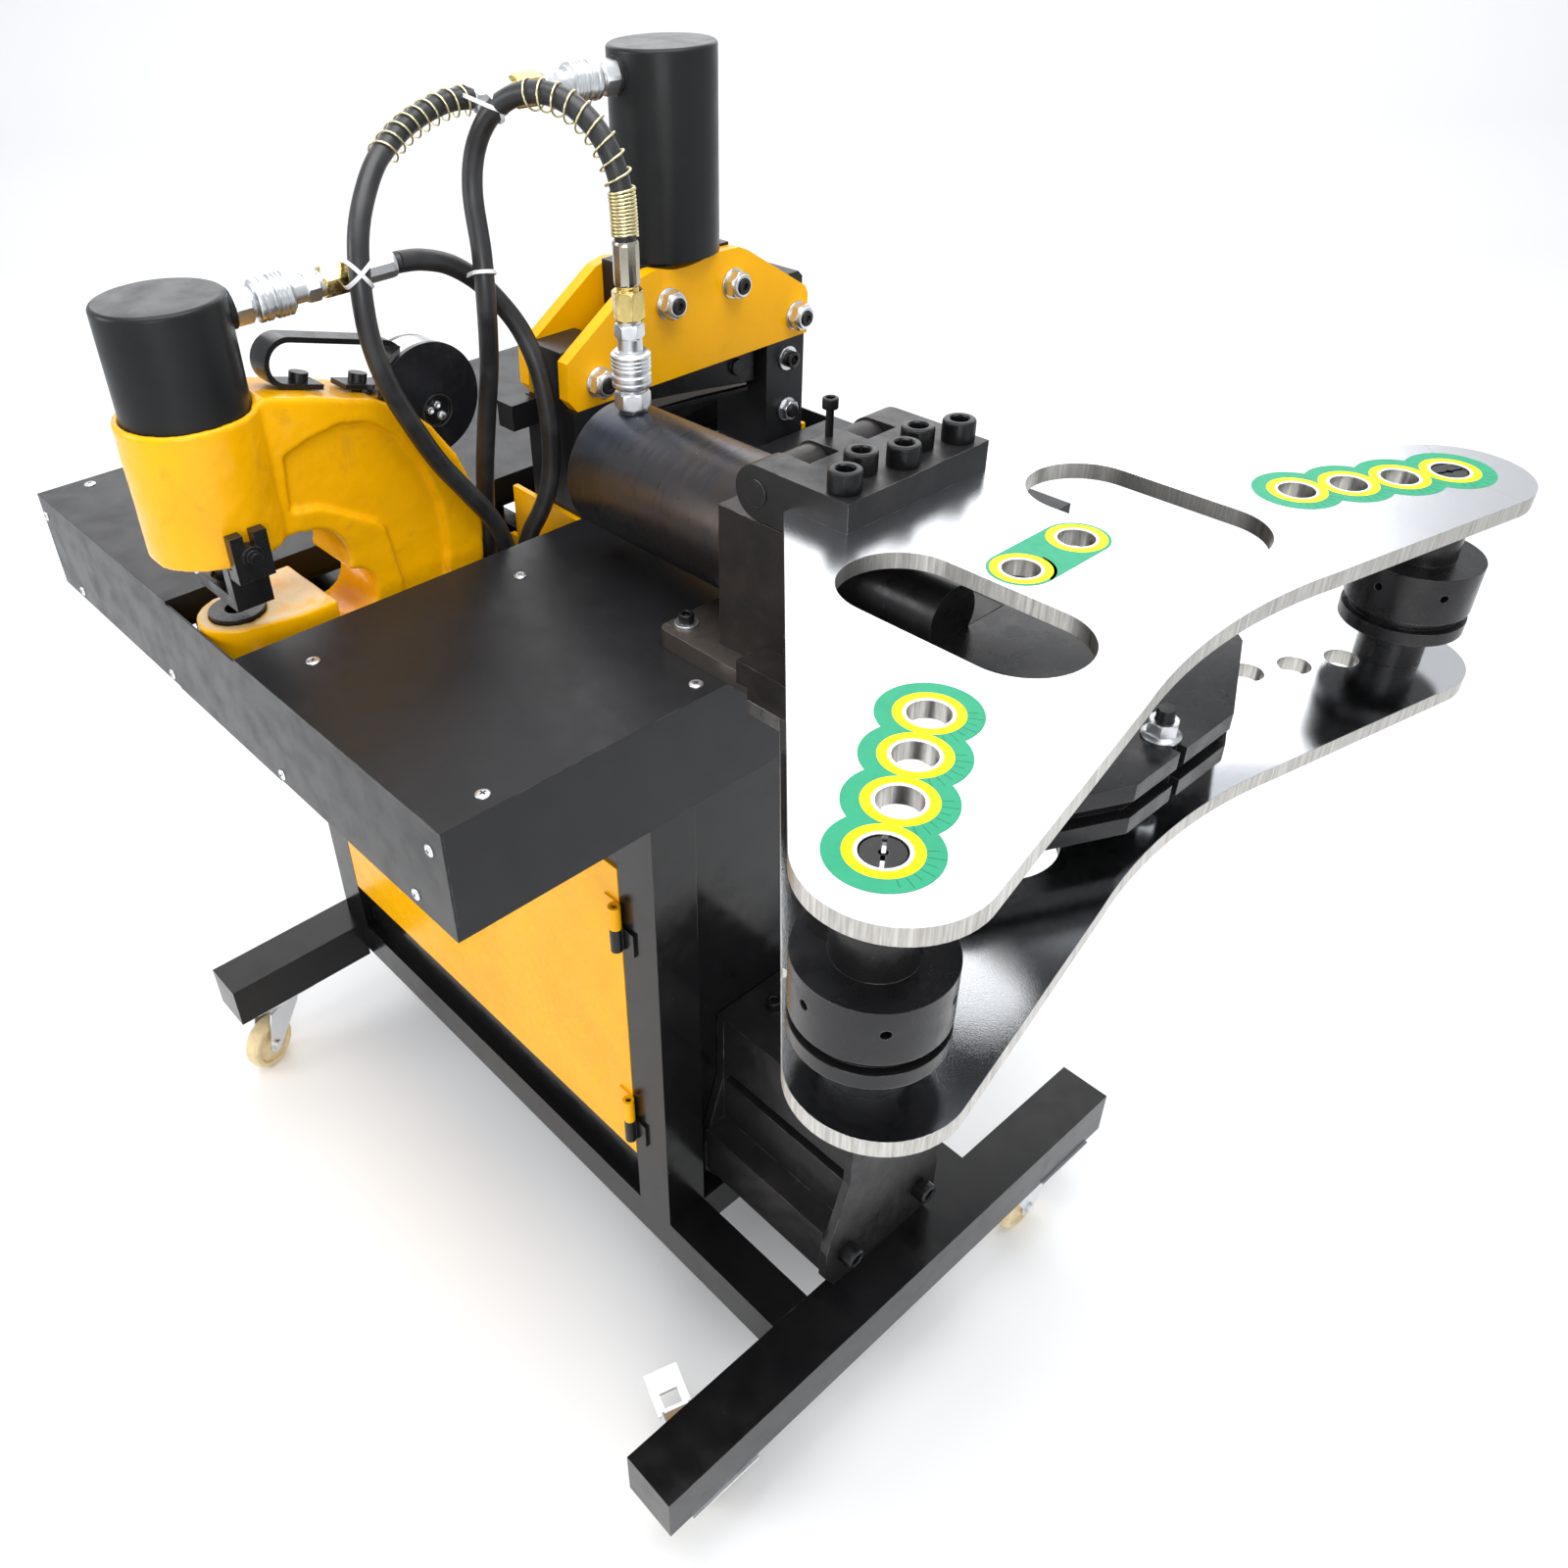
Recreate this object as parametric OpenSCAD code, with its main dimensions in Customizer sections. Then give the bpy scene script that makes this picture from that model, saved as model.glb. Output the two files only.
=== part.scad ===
// Three-in-one hydraulic busbar and rebar bench: bender, punch and cutter on a wheeled table.
// Origin: centre of the footprint on the floor. +X towards the bender wings, +Y to the far side, +Z up.

/* [Table] */
// Height of the table top above the floor
table_h = 860.2; // [800:1:920]
// Half of the table's width
table_hw = 361.1; // [300:1:420]
// Front edge of the table
table_x1 = 182.3; // [150:1:240]
// Rear edge of the table
table_x0 = -570.4; // [-640:1:-500]
// Depth of the apron below the table top
apron_d = 102.7; // [60:1:140]
// Sheet thickness of the table
sheet_t = 3; // [2:0.5:5]
// Front edge of the tool slot
slot_x1 = -126.2; // [-150:1:-100]
// Rear edge of the tool slot
slot_x0 = -259.7; // [-300:1:-240]

/* [Base] */
// Side of the square foot tubes
foot_w = 60; // [50:5:80]
// Height of the top of the foot tubes
foot_top = 165; // [150:1:180]
// Half length of the front foot
foot_hl = 345; // [300:5:400]
// Side of the rails and posts
post_w = 50; // [40:5:60]
// Distance of the posts' outer faces from the middle
post_y = 151.3; // [120:1:200]
// Wheel radius
wheel_r = 37.5; // [30:0.5:50]
// Trail of the castors
trail = 38; // [20:1:45]

/* [Bender] */
// Height of the bender's ram axis
ram_z = 940; // [920:1:960]
// Bender cylinder radius
bend_r = 58; // [45:1:70]
// Ram rod radius
rod_r = 25; // [20:1:35]
// Wing plate thickness
wing_t = 12; // [8:1:16]
// Underside of the upper wing
wing_zt = 1006.3; // [990:0.1:1020]
// Underside of the lower wing
wing_zb = 855; // [850:1:870]
// Wing tip centre, along X
tip_x = 518.4; // [480:0.1:560]
// Wing tip centre, along Y
tip_y = 298; // [250:1:340]
// Wing tip radius
tip_r = 52; // [40:1:65]
// Pin hole radius
hole_r = 12.5; // [8:0.5:16]
// Pitch of the pin holes
hole_p = 40; // [30:1:50]
// Hinge axis of the upper wing, along X
hinge_x = 193.5; // [180:0.5:210]
// Hinge axis height
hinge_z = 1019.9; // [1010:0.1:1030]

/* [Punch] */
// Punch axis, along X
punch_x = -193; // [-220:1:-170]
// Punch axis, along Y
punch_y = -323; // [-340:1:-300]
// Punch cylinder radius
punch_r = 50.8; // [40:0.2:60]
// Top of the punch cylinder
punch_top = 1132.7; // [1080:0.1:1180]
// Thickness of the cast frame
cframe_t = 70; // [50:1:90]

/* [Cutter] */
// Middle plane of the cutter, along X
cut_x = -169.5; // [-190:0.5:-150]
// Cutter cylinder axis, along Y
cut_y = 162; // [140:1:200]
// Cutter cylinder radius
cut_r = 49.5; // [40:0.5:60]
// Top of the cutter cylinder
cut_top = 1248.5; // [1180:0.5:1300]

/* [Hoses] */
// Hose outside diameter
hose_d = 17.5; // [12:0.5:22]
// Sides of the hose tube
hose_n = 10; // [8:1:12]

/* [Hidden] */
table_bot = table_h - apron_d;
ly = 0.03;
foot_bot = foot_top - foot_w;
cas = [[338.4, -275, 163], [338.4, 275, -88], [-528.7, -283, -68], [-528.7, 283, 40]];

BLK = [0.09, 0.09, 0.10];
YEL = [0.93, 0.66, 0.05];
STL = [0.72, 0.73, 0.75];
ZNC = [0.80, 0.82, 0.84];

// box between two corners
module bx(a, b) translate(a) cube([b[0] - a[0], b[1] - a[1], b[2] - a[2]]);
// round bar along X, Y or Z from a start point
module rx(p, l, r) translate(p) rotate([0, 90, 0]) cylinder(h = l, r = r);
module ry(p, l, r) translate(p) rotate([-90, 0, 0]) cylinder(h = l, r = r);
module rz(p, l, r) translate(p) cylinder(h = l, r = r);
// hexagon prism along Z
module hex(p, l, af) translate(p) cylinder(h = l, r = af / sqrt(3), $fn = 6);
module both() { children(); mirror([0, 1, 0]) children(); }
// profile drawn in Y and Z, extruded along X between two planes
module yz(x0, x1) translate([x0, 0, 0]) rotate([90, 0, 90]) linear_extrude(x1 - x0) children();
// profile drawn in X and Z, extruded along Y between two planes
module xz(y0, y1) translate([0, y1, 0]) rotate([90, 0, 0]) linear_extrude(y1 - y0) children();
// profile drawn in X and Y, extruded along Z
module xy(z0, z1) translate([0, 0, z0]) linear_extrude(z1 - z0) children();
module tube_box(a, b, t, ax) difference() {
  bx(a, b);
  bx([a[0] + (ax == 0 ? -1 : t), a[1] + (ax == 1 ? -1 : t), a[2] + (ax == 2 ? -1 : t)],
     [b[0] - (ax == 0 ? -1 : t), b[1] - (ax == 1 ? -1 : t), b[2] - (ax == 2 ? -1 : t)]);
}
// socket head screw standing on a face at z, head up
module cap_z(x, y, z, r, hr, hh, l) difference() {
  union() { rz([x, y, z - l], l + 1, r); rz([x, y, z], hh, hr); }
  hex([x, y, z + hh * 0.45], hh, hr * 1.1);
}
module cap_x(x, y, z, r, hr, hh, l) translate([x, y, z]) rotate([0, 90, 0]) cap_z(0, 0, 0, r, hr, hh, l);

// ---------------- base ----------------
module foot_tubes() color(BLK) {
  tube_box([308.4, -foot_hl + 3, foot_bot], [368.4, foot_hl - 3, foot_top], 3, 1);
  both() {
    tube_box([-558.7, post_y, foot_bot], [-498.7, 346, foot_top], 3, 1);
    bx([308.4, foot_hl - 3, foot_bot], [368.4, foot_hl, foot_top]);
    bx([-558.7, 346, foot_bot], [-498.7, 349, foot_top]);
  }
}

module base_frame() color(BLK) {
  both() tube_box([-558.7, post_y - post_w, 115], [308.4, post_y, foot_top], 3, 0);
  tube_box([100, -post_y + post_w, 115], [150, post_y - post_w, foot_top], 3, 1);
  tube_box([-540, -post_y + post_w, 115], [-490, post_y - post_w, foot_top], 3, 1);
  bx([-490, -post_y + post_w, 155], [100, post_y - post_w, 157]);
}

module cabinet_frame() color(BLK) {
  both() {
    for (x = [-540, 100]) tube_box([x, post_y - post_w, foot_top], [x + post_w, post_y, 827], 3, 2);
    bx([-490, post_y - 27, 650], [100, post_y - 2, 700]);
    bx([-490, post_y - 40, foot_top], [100, post_y - 15, 236]);
  }
  for (x = [-530, 110]) bx([x, -post_y + post_w, 700], [x + 30, post_y - post_w, 750]);
}

module cabinet_panels() color([0.05, 0.05, 0.055]) {
  bx([123, -post_y + post_w, foot_top], [126, post_y - post_w, 700]);
  bx([-533, -post_y + post_w, foot_top], [-530, post_y - post_w, 700]);
  bx([-490, post_y - 15, foot_top], [100, post_y - 12, 650]);
  bx([-490, -post_y + 25.1, 701], [100, -post_y + 27, 751]);
}

module door_panel() color(YEL) difference() {
  union() {
    bx([-488.5, -post_y, 241], [98.5, -post_y + 1.6, 648]);
    bx([-488.5, -post_y, 241], [-486.9, -post_y + 18, 648]);
    bx([96.9, -post_y, 241], [98.5, -post_y + 18, 648]);
    bx([-488.5, -post_y, 241], [98.5, -post_y + 18, 242.6]);
    bx([-488.5, -post_y, 646.4], [98.5, -post_y + 18, 648]);
    for (z = [306, 582]) {
      rz([100, -post_y - 7, z], z == 306 ? 31 : 27, 6);
      bx([80, -post_y - 2.5, z], [99, -post_y, z + (z == 306 ? 31 : 27)]);
      bx([95, -post_y - 8, z + 2], [98.5, -post_y, z + 22]);
    }
  }
  for (z = [306, 582]) rz([100, -post_y - 7, z - 1], 40, 3.05);
}

module door_hinge_lower() color(BLK) for (z = [274, 554]) {
  rz([100, -post_y - 7, z], z == 274 ? 31.5 : 27.5, 6);
  rz([100, -post_y - 7, z], z == 274 ? 60 : 50, 3);
  bx([100.5, -post_y - 3, z], [120, -post_y, z + (z == 274 ? 31.5 : 27.5)]);
  bx([101.5, -post_y - 8, z + 2], [105, -post_y, z + 22]);
}

// ---------------- table ----------------
module table_top_sheets() color(BLK) {
  z0 = table_h - sheet_t;
  bx([slot_x1, -table_hw, z0], [table_x1, table_hw, table_h]);
  bx([table_x1 - sheet_t, -table_hw + 2.2, table_bot], [table_x1, table_hw - 2.2, table_h - 1]);
  bx([slot_x1, -table_hw + 2.2, z0 - 22], [slot_x1 + sheet_t, table_hw - 2.2, z0 + 1]);
  bx([table_x0, -table_hw, z0], [slot_x0, table_hw, table_h]);
  bx([table_x0, -table_hw + 2.2, table_bot], [table_x0 + sheet_t, table_hw - 2.2, table_h - 1]);
  bx([slot_x0 - sheet_t, -table_hw + 2.2, z0 - 22], [slot_x0, table_hw - 2.2, z0 + 1]);
}

module table_side_aprons() color(BLK)
  both() bx([table_x0, table_hw - 2.1, table_bot], [table_x1, table_hw - 0.1, table_h - sheet_t]);

module table_frame() color(BLK) {
  z0 = 827; z1 = table_h - sheet_t;
  both() {
    bx([table_x0 + 3, table_hw - 32.1, z0], [slot_x0 - 3, table_hw - 2.1, z1]);
    bx([slot_x1 + 3, table_hw - 32.1, z0], [table_x1 - 3, table_hw - 2.1, z1]);
    bx([table_x0 + 33, post_y - 50, z0], [slot_x0 - 33, post_y - 20, z1]);
    bx([slot_x1 + 33, post_y - 50, z0], [table_x1 - 33, post_y - 20, z1]);
  }
  for (x = [table_x0 + 3, slot_x0 - 33, slot_x1 + 3, table_x1 - 33])
    bx([x, -table_hw + 32.1, z0], [x + 30, table_hw - 32.1, z1]);
  for (x = [slot_x0 - 33, slot_x1 + 3]) both()
    bx([x, table_hw - 62, table_bot], [x + 30, table_hw - 32.1, z0]);
}

module table_screws() color(ZNC) {
  for (p = [[-77, 314], [-75, 106], [166, 314], [166, 111], [-553, 312], [-553, 106], [-290, 312], [-290, 106]])
    both() translate([p[0], p[1], table_h]) cylinder(h = 1.6, r = 6);
  for (p = [[-561.7, 838], [-518, 767], [-298, 766], [-81, 766], [163, 834], [129, 770]])
    both() ry([p[0], table_hw - 0.1, p[1]], 1.7, 5);
}

module tool_shelf() color(BLK) difference() {
  bx([slot_x0 - 33, -table_hw + 2.1, table_bot - 6], [slot_x1 + 33, table_hw - 2.1, table_bot]);
  bx([slot_x0 - 2, -82, table_bot - 8], [slot_x1 + 2, 3, table_bot + 2]);
}

module slot_gussets() color(YEL) {
  xz(3, 9) polygon([[-239, table_bot + 40], [-131, table_bot + 40], [-131, 856.6], [-237, 859.2]]);
  bx([-252, 3, table_bot], [-130, 9, table_bot + 43]);
  bx([-150, 314.6, 826], [-131, 319.6, 864]);
}

// ---------------- castors ----------------
module at_caster(i) translate([cas[i][0], cas[i][1], 0]) rotate([0, 0, cas[i][2]]) children();

module caster_plates() color(ZNC) for (i = [0 : 3]) translate([cas[i][0], cas[i][1], 0]) {
  bx([i < 2 ? -33 : -28, -43, 102], [i < 2 ? 33 : 28, 43, 105]);
  rz([0, 0, 96], 6, 13);
}

module fork(pedal) color(ZNC) {
  difference() {
    union() {
      rz([0, 0, 91.6], 9.6, 21);
      bx([-20, -16, 86], [26, 16, 91.8]);
    }
    rz([0, 0, 95.6], 8, 13.4);
  }
  for (s = [-1, 1]) difference() {
    union() {
      xz(s > 0 ? 13.5 : -16, s > 0 ? 16 : -13.5) {
        polygon(concat([[-20, 91.8]], pedal ? [[68, 91.8], [68, 74]] : [[34, 91.8]],
          [[trail + 11, 44], [trail + 9, 31], [trail - 9, 31], [-16, 76]]));
        translate([trail, wheel_r]) circle(r = 11.5);
      }
    }
    xz(s > 0 ? 15 : -18, s > 0 ? 18 : -15) translate([trail, wheel_r]) circle(r = 7);
  }
  ry([trail, -17, wheel_r], 34, 4);
  for (y = [-19.5, 15.2]) ry([trail, y, wheel_r], 4.3, 6.5);
  if (pedal) ry([58, -16, 78], 32, 3);
}

module wheel() color([0.90, 0.85, 0.70]) translate([trail, 0, wheel_r]) rotate([90, 0, 0]) rotate_extrude()
  polygon([[4.06, -12.4], [11, -12.4], [11, -9], [27, -8], [29, -11.5], [34, -10.5], [36.6, -7], [37.5, -2],
           [37.5, 2], [36.6, 7], [34, 10.5], [29, 11.5], [27, 8], [11, 9], [11, 12.4], [4.06, 12.4]]);

module pedal() color(ZNC) difference() {
  union() {
    ry([58, -12.4, 78], 24.8, 6.5);
    xz(-12.4, 12.4) polygon([[60, 78], [70, 78.8], [70, 83], [60, 84]]);
    difference() {
      xz(-19, 19) polygon([[69, 78.5], [98, 87.5], [110, 93], [109, 95.6], [97, 90.8], [69, 82]]);
      bx([74, -10, 70], [88, 10, 110]);
    }
  }
  ry([58, -15, 78], 30, 3.05);
}

module fork_front_near() at_caster(0) fork(true);
module fork_front_far() at_caster(1) fork(true);
module fork_rear_near() at_caster(2) fork(false);
module fork_rear_far() at_caster(3) fork(false);
module wheel_front_near() at_caster(0) wheel();
module wheel_front_far() at_caster(1) wheel();
module wheel_rear_near() at_caster(2) wheel();
module wheel_rear_far() at_caster(3) wheel();
module pedal_near() at_caster(0) pedal();
module pedal_far() at_caster(1) pedal();

// ---------------- bender ----------------
module bender_cylinder() color([0.28, 0.27, 0.27]) difference() {
  union() {
    rx([-57, 0, ram_z], 211, bend_r);
    rz([-33, 0, ram_z], bend_r + 2, 12);
  }
  rx([-35, 0, ram_z], 190, 42.06);
  rz([-33, 0, ram_z], bend_r + 3, 4);
}

module head_block() color([0.16, 0.13, 0.12]) difference() {
  union() {
    bx([154, -74.5, 877], [225, 74.5, 998]);
    both() {
      ry([hinge_x, 15.4, hinge_z], 30.2, 19);
      bx([hinge_x - 19, 15.4, 997], [hinge_x + 19, 45.6, hinge_z]);
    }
  }
  rx([150, 0, ram_z], 80, rod_r + 0.05);
  rx([150, 0, ram_z], 12, 42.06);
  ry([hinge_x, -80, hinge_z], 160, 10.5);
}

module mount_bar() color([0.35, 0.33, 0.31]) difference() {
  xy(table_h, 877) difference() {
    union() {
      translate([108, -93]) square([108, 186]);
      translate([100, -85]) square([116, 170]);
      both() translate([108, 85]) circle(r = 8);
    }
  }
  both() rz([113, 73, 850], 40, 4.1);
}

module black_screws() color(BLK) {
  both() {
    cap_z(113, 73, 879, 4, 6.5, 8, 18.6);
    difference() { rz([113, 73, 877], 2, 10); rz([113, 73, 876], 4, 4.1); }
  }
  both() cap_x(317.8, 57, 212, 7.9, 12, 16, 30);
  both() cap_z(262, 62, 897, 8, 12, 10, 41);
  cap_z(159, -7, 412, 5, 8, 10, 12);
}

module foot_plate() color([0.12, 0.12, 0.13]) difference() {
  union() {
    bx([225, -104, 867], [292, 104, 897]);
    both() { bx([204, 74.5, 877], [226, 104, 897]); bx([216, 74.5, 867], [226, 104, 877]); }
  }
  both() rz([262, 62, 860], 40, 8.1);
}

module hinge_pin() color([0.40, 0.30, 0.24]) ry([hinge_x, -75.5, hinge_z], 151, 10.5);

module hinge_leaf() color([0.13, 0.12, 0.12]) difference() {
  union() {
    bx([226.5, -74.5, wing_zt + wing_t], [281, 74.5, 1040.8]);
    bx([hinge_x, -74.5, 999], [226.4, 74.5, 1040.8]);
    bx([226, -74.5, wing_zt + wing_t], [227, 74.5, 1040.8]);
    ry([hinge_x, -74.5, hinge_z], 149, 20.9);
  }
  both() bx([160, 15, 990], [hinge_x + 24.5, 46, 1050]);
  ry([hinge_x, -80, hinge_z], 160, 10.55);
  for (i = [-2 : 2]) rz([i % 2 == 0 ? 264 : 251, i * 30, 1000], 50, 8.1);
  rz([hinge_x, 0, hinge_z + 11.5], 20, 3.05);
}

module leaf_screws() color([0.08, 0.08, 0.08]) {
  for (i = [-2 : 2]) cap_z(i % 2 == 0 ? 264 : 251, i * 30, 1040.8, 8, 12.2, 16, 34);
  cap_z(hinge_x, 0, 1062, 3, 6, 8, 30);
}

module wing_holes() {
  for (i = [0 : 3]) translate([454.6 + i * hole_p * sin(29.4), 198 + i * hole_p * cos(29.4)]) circle(r = hole_r);
  translate([390.3, 30]) circle(r = hole_r);
}

module wing_2d(neck_x, neck_y) let (q = tip_r - 0.04, k = 147 + neck_y) difference() {
  union() {
    polygon([[neck_x, -neck_y], [neck_x, neck_y], [k, neck_y], [tip_x - q * 0.7071, tip_y + q * 0.7071],
      [tip_x, tip_y], [tip_x + q * 0.9781, tip_y - q * 0.2079], [527.26, 90], [527.26, -90],
      [tip_x + q * 0.9781, -tip_y + q * 0.2079], [tip_x, -tip_y],
      [tip_x - q * 0.7071, -tip_y - q * 0.7071], [k, -neck_y]]);
    both() translate([tip_x, tip_y]) circle(r = tip_r);
  }
  translate([950.8, 0]) circle(r = 433.3);
  both() {
    translate([351, 99]) circle(r = 42.7);
    translate([443, 99]) circle(r = 42.7);
    translate([351, 56.3]) square([92, 85.4]);
    wing_holes();
  }
}

module top_wing() color(STL) difference() {
  xy(wing_zt, wing_zt + wing_t) wing_2d(226.5, 79.64);
  for (i = [-2 : 2]) rz([i % 2 == 0 ? 264 : 251, i * 30, 1000], 50, 8.1);
}

module bottom_wing() color([0.80, 0.81, 0.83]) difference() {
  xy(wing_zb, wing_zb + wing_t) wing_2d(216, 104);
  both() rz([436, 288, 850], 30, 3.5);
  both() rz([262, 62, 850], 30, 8.1);
}

module roller(s) color(BLK) difference() {
  union() {
    rz([513.5, s * 302.6, 867.2], 138, 24);
    rz([513.5, s * 302.6, 916], 37, 43.7);
    rz([513.5, s * 302.6, 908], 9, 38);
    rz([513.5, s * 302.6, 898], 10, 43.7);
  }
  rz([513.5, s * 302.6, 860], 160, 11.66);
  for (a = [0 : 60 : 300]) translate([513.5, s * 302.6, 938]) rotate([0, 0, a + 20]) rx([32, 0, 0], 20, 3);
}
module roller_near() roller(-1);
module roller_far() roller(1);

module roller_pins() color([0.2, 0.2, 0.2]) for (s = [-1, 1]) translate([513.5, s * 302.6, 0]) difference() {
  rz([0, 0, wing_zb], 1017.6 - wing_zb, 11.6);
  rz([0, 0, 1008], 12, 2.6);
  rotate([0, 0, s < 0 ? -53 : 66]) bx([-14, -1.2, 1013.6], [14, 1.2, 1020]);
}

module ram() color([0.20, 0.19, 0.19]) {
  rx([60, 0, ram_z], 260.5, rod_r);
  rx([58, 0, ram_z], 32, 42);
}

module former_2d(d, rear) difference() {
  polygon(concat([[511 - d, -56 + d * 0.5], [511 - d, 56 - d * 0.5], [468 - d, 143 - d], [460 - d, 150 - d],
    [449, 150 - d], [440, 141 - d], [400, 70]], rear ? [[320.5, 70], [320.5, -70]] : [],
    [[400, -70], [440, -141 + d], [449, -150 + d], [460 - d, -150 + d], [468 - d, -143 + d]]));
  translate([504, -8]) square([20, 8]);
}

module former() color([0.10, 0.10, 0.105]) difference() {
  union() {
    xy(886, 899) former_2d(0, false);
    xy(898.9, 912.1) former_2d(8, false);
    xy(912, 925) former_2d(0, true);
    bx([326, -45, 899.1], [404, 45, 912.1]);
  }
  rz([492, 0, 880], 60, 6.1);
}

module former_bolt() color(ZNC) {
  rz([492, 0, 880], 66, 6);
  difference() {
    union() { hex([492, 0, 927], 11, 18); rz([492, 0, 925], 3, 13); }
    rz([492, 0, 920], 30, 5.9);
  }
  hex([492, 0, 878], 8, 18);
}

module lower_bracket() color([0.11, 0.11, 0.115]) {
  for (x = [127, 308.4]) difference() {
    yz(x, x + 9.4) polygon([[-71, foot_top], [71, foot_top], [86, 190], [86, 232], [58, 322], [57, 412], [-57, 412],
      [-58, 322], [-86, 232], [-86, 190]]);
    if (x > 200) both() rx([x - 1, 57, 212], 20, 8);
  }
  difference() { bx([136.4, -57, 335], [308.4, 57, 412]); rz([159, -7, 398], 20, 5.1); }
  bx([136.4, -46, 318], [308.4, 46, 335]);
  bx([136.4, -57, 258], [308.4, 57, 318]);
  difference() { bx([136.4, -84, 193], [308.4, 84, 258]); both() rx([280, 57, 212], 40, 8); }
  bx([126, -57, 380], [127, 57, 400]);
}

// ---------------- punch ----------------
module punch_frame() color(YEL) difference() {
  union() {
    yz(punch_x - cframe_t / 2, punch_x + cframe_t / 2) difference() {
      polygon([[-300, 1040], [-272, 1049], [-230, 1038], [-176, 1021], [-150, 1006], [-125, 983], [-104, 950],
        [-90, 914], [-86, 875], [-90, 835], [-104, 800], [-125, 775], [-150, 764], [-180, 757.5], [-300, 757.5],
        [-300, 863], [-262, 863], [-262, 930], [-300, 930]]);
      translate([-259, 894]) circle(r = 34);
      translate([-229, 855]) circle(r = 25);
      translate([-263, 840]) square([22, 40]);
    }
    rz([punch_x, punch_y, 931], 114, 57);
    xy(800, 863) {
      translate([punch_x, punch_y]) circle(r = 35);
      polygon([[punch_x - 34.5, punch_y - 10], [punch_x + 34.5, punch_y - 10], [punch_x + 46, -285],
        [punch_x + 46, -250], [punch_x - 46, -250], [punch_x - 46, -285]]);
    }
  }
  for (s = [0, 1]) yz(s == 0 ? punch_x - 60 : punch_x + cframe_t / 2 - 6, s == 0 ? punch_x - cframe_t / 2 + 6 : punch_x + 60)
    polygon([[-266, 998], [-240, 1006], [-212, 1010], [-184, 1004], [-160, 985], [-140, 950], [-128, 910],
      [-126, 865],
      [-134, 825], [-180, 812], [-178, 850], [-186, 906], [-192, 914], [-242, 945], [-270, 950]]);
  rz([punch_x, punch_y, 950], 100, punch_r + 0.05);
  rz([punch_x, punch_y, 925], 30, 30.05);
  rz([punch_x, punch_y, 848], 20, 24.05);
  rz([punch_x, punch_y, 790], 80, 12);
  at_strap() for (y = [2, 57]) rz([punch_x, y, -16], 30, 5.1);
}

module punch_cylinder() color([0.10, 0.10, 0.105]) difference() {
  rz([punch_x, punch_y, 950], punch_top - 950, punch_r);
  rz([punch_x, punch_y, 940], 160, 36.05);
}

module punch_ram() color([0.18, 0.18, 0.18]) {
  rz([punch_x, punch_y, 925.5], 100, 30);
  rz([punch_x, punch_y, 1000], 50, 36);
  rz([punch_x, punch_y, 891], 40, 10);
  rz([punch_x, punch_y, 910], 20, 13);
}

module punch_die() color([0.10, 0.10, 0.10]) difference() {
  rz([punch_x, punch_y, 848], 18.5, 24);
  rz([punch_x, punch_y, 840], 40, 10.4);
}

module stripper_fork() color([0.10, 0.10, 0.10]) {
  x1 = punch_x + 50; x2 = x1 + 7.6; x3 = x1 + 17.6;
  y0 = punch_y - 17.5; y1 = punch_y + 15.5;
  difference() {
    union() {
      bx([punch_x - 20, y0, 889], [x1 - 11, y1, 901]);
      bx([x1 - 12, y0, 889], [x1, y1, 930.4]);
      bx([x1 - 1, y0 + 0.6, 920.8], [x3, y1 - 0.4, 930.3]);
      bx([x2, y0 + 0.6, 920.8], [x3, y1 - 0.4, 936]);
      bx([x2, y0 + 0.6, 935], [x3, y0 + 12, 961.4]);
      bx([x2, y1 - 12.2, 935], [x3, y1 - 0.4, 961.4]);
    }
    rz([punch_x, punch_y, 880], 30, 14);
  }
  rx([x2 + 0.2, punch_y - 1, 941.6], 11.6, 9);
  rx([x3, punch_y - 1, 941.6], 8.4, 5.6);
}

module at_strap() translate([0, -228, 1038.2]) rotate([-15.6, 0, 0]) children();
module carry_strap() color([0.07, 0.07, 0.07]) at_strap() difference() {
  union() {
    yz(punch_x - 12.5, punch_x + 12.5) difference() {
      union() {
        translate([-14, 21]) circle(r = 21);
        translate([74, 21]) circle(r = 21);
        translate([-14, 0]) square([88, 42]);
      }
      translate([-14, 21]) circle(r = 16.5);
      translate([74, 21]) circle(r = 16.5);
      translate([-14, 4.5]) square([88, 33]);
      translate([19, -1]) square([20, 10]);
    }
    for (y = [2, 57]) rz([punch_x, y, -12], 24, 5);
    for (y = [2, 57]) rz([punch_x, y, 4], 8, 8);
  }
}

module oil_canister() color([0.05, 0.05, 0.05]) difference() {
  union() {
    rx([-202, -120, 1003.5], 33, 48);
    rx([-170, -120, 1003.5], 5, 49.6);
    bx([punch_x - 14, -130, 962], [punch_x + 14, -108, 985]);
  }
  rx([-168, -114, 991.7], 12, 15.5);
  at_strap() yz(punch_x - 13.4, punch_x + 13.4) {
    translate([74, 21]) circle(r = 21.8);
    translate([-14, -0.8]) square([88, 43.6]);
  }
  yz(-240, -160) polygon([[-180, 1024], [-176, 1021.2], [-150, 1006.2], [-125, 983.2], [-104, 950.2],
    [-104, 900], [-180, 900]]);
}

// ---------------- cutter ----------------
module cut_plate_2d() difference() {
  polygon([[5.7, 1010], [4.6, 975], [13.9, 963], [318, 963], [318, 1004], [314, 1012], [232, 1064], [221, 1069],
    [195, 1070], [110, 1070], [92.5, 1066]]);
  translate([150.5, 1196.2]) circle(r = 131);
}

module cutter_plates() color(YEL) for (x = [-146, -207]) difference() {
  yz(x, x + 14) cut_plate_2d();
  for (p = [[40, 985], [128, 1037], [212, 1037], [301, 985]]) rx([x - 1, p[0], p[1]], 16, 8.1);
}

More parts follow.
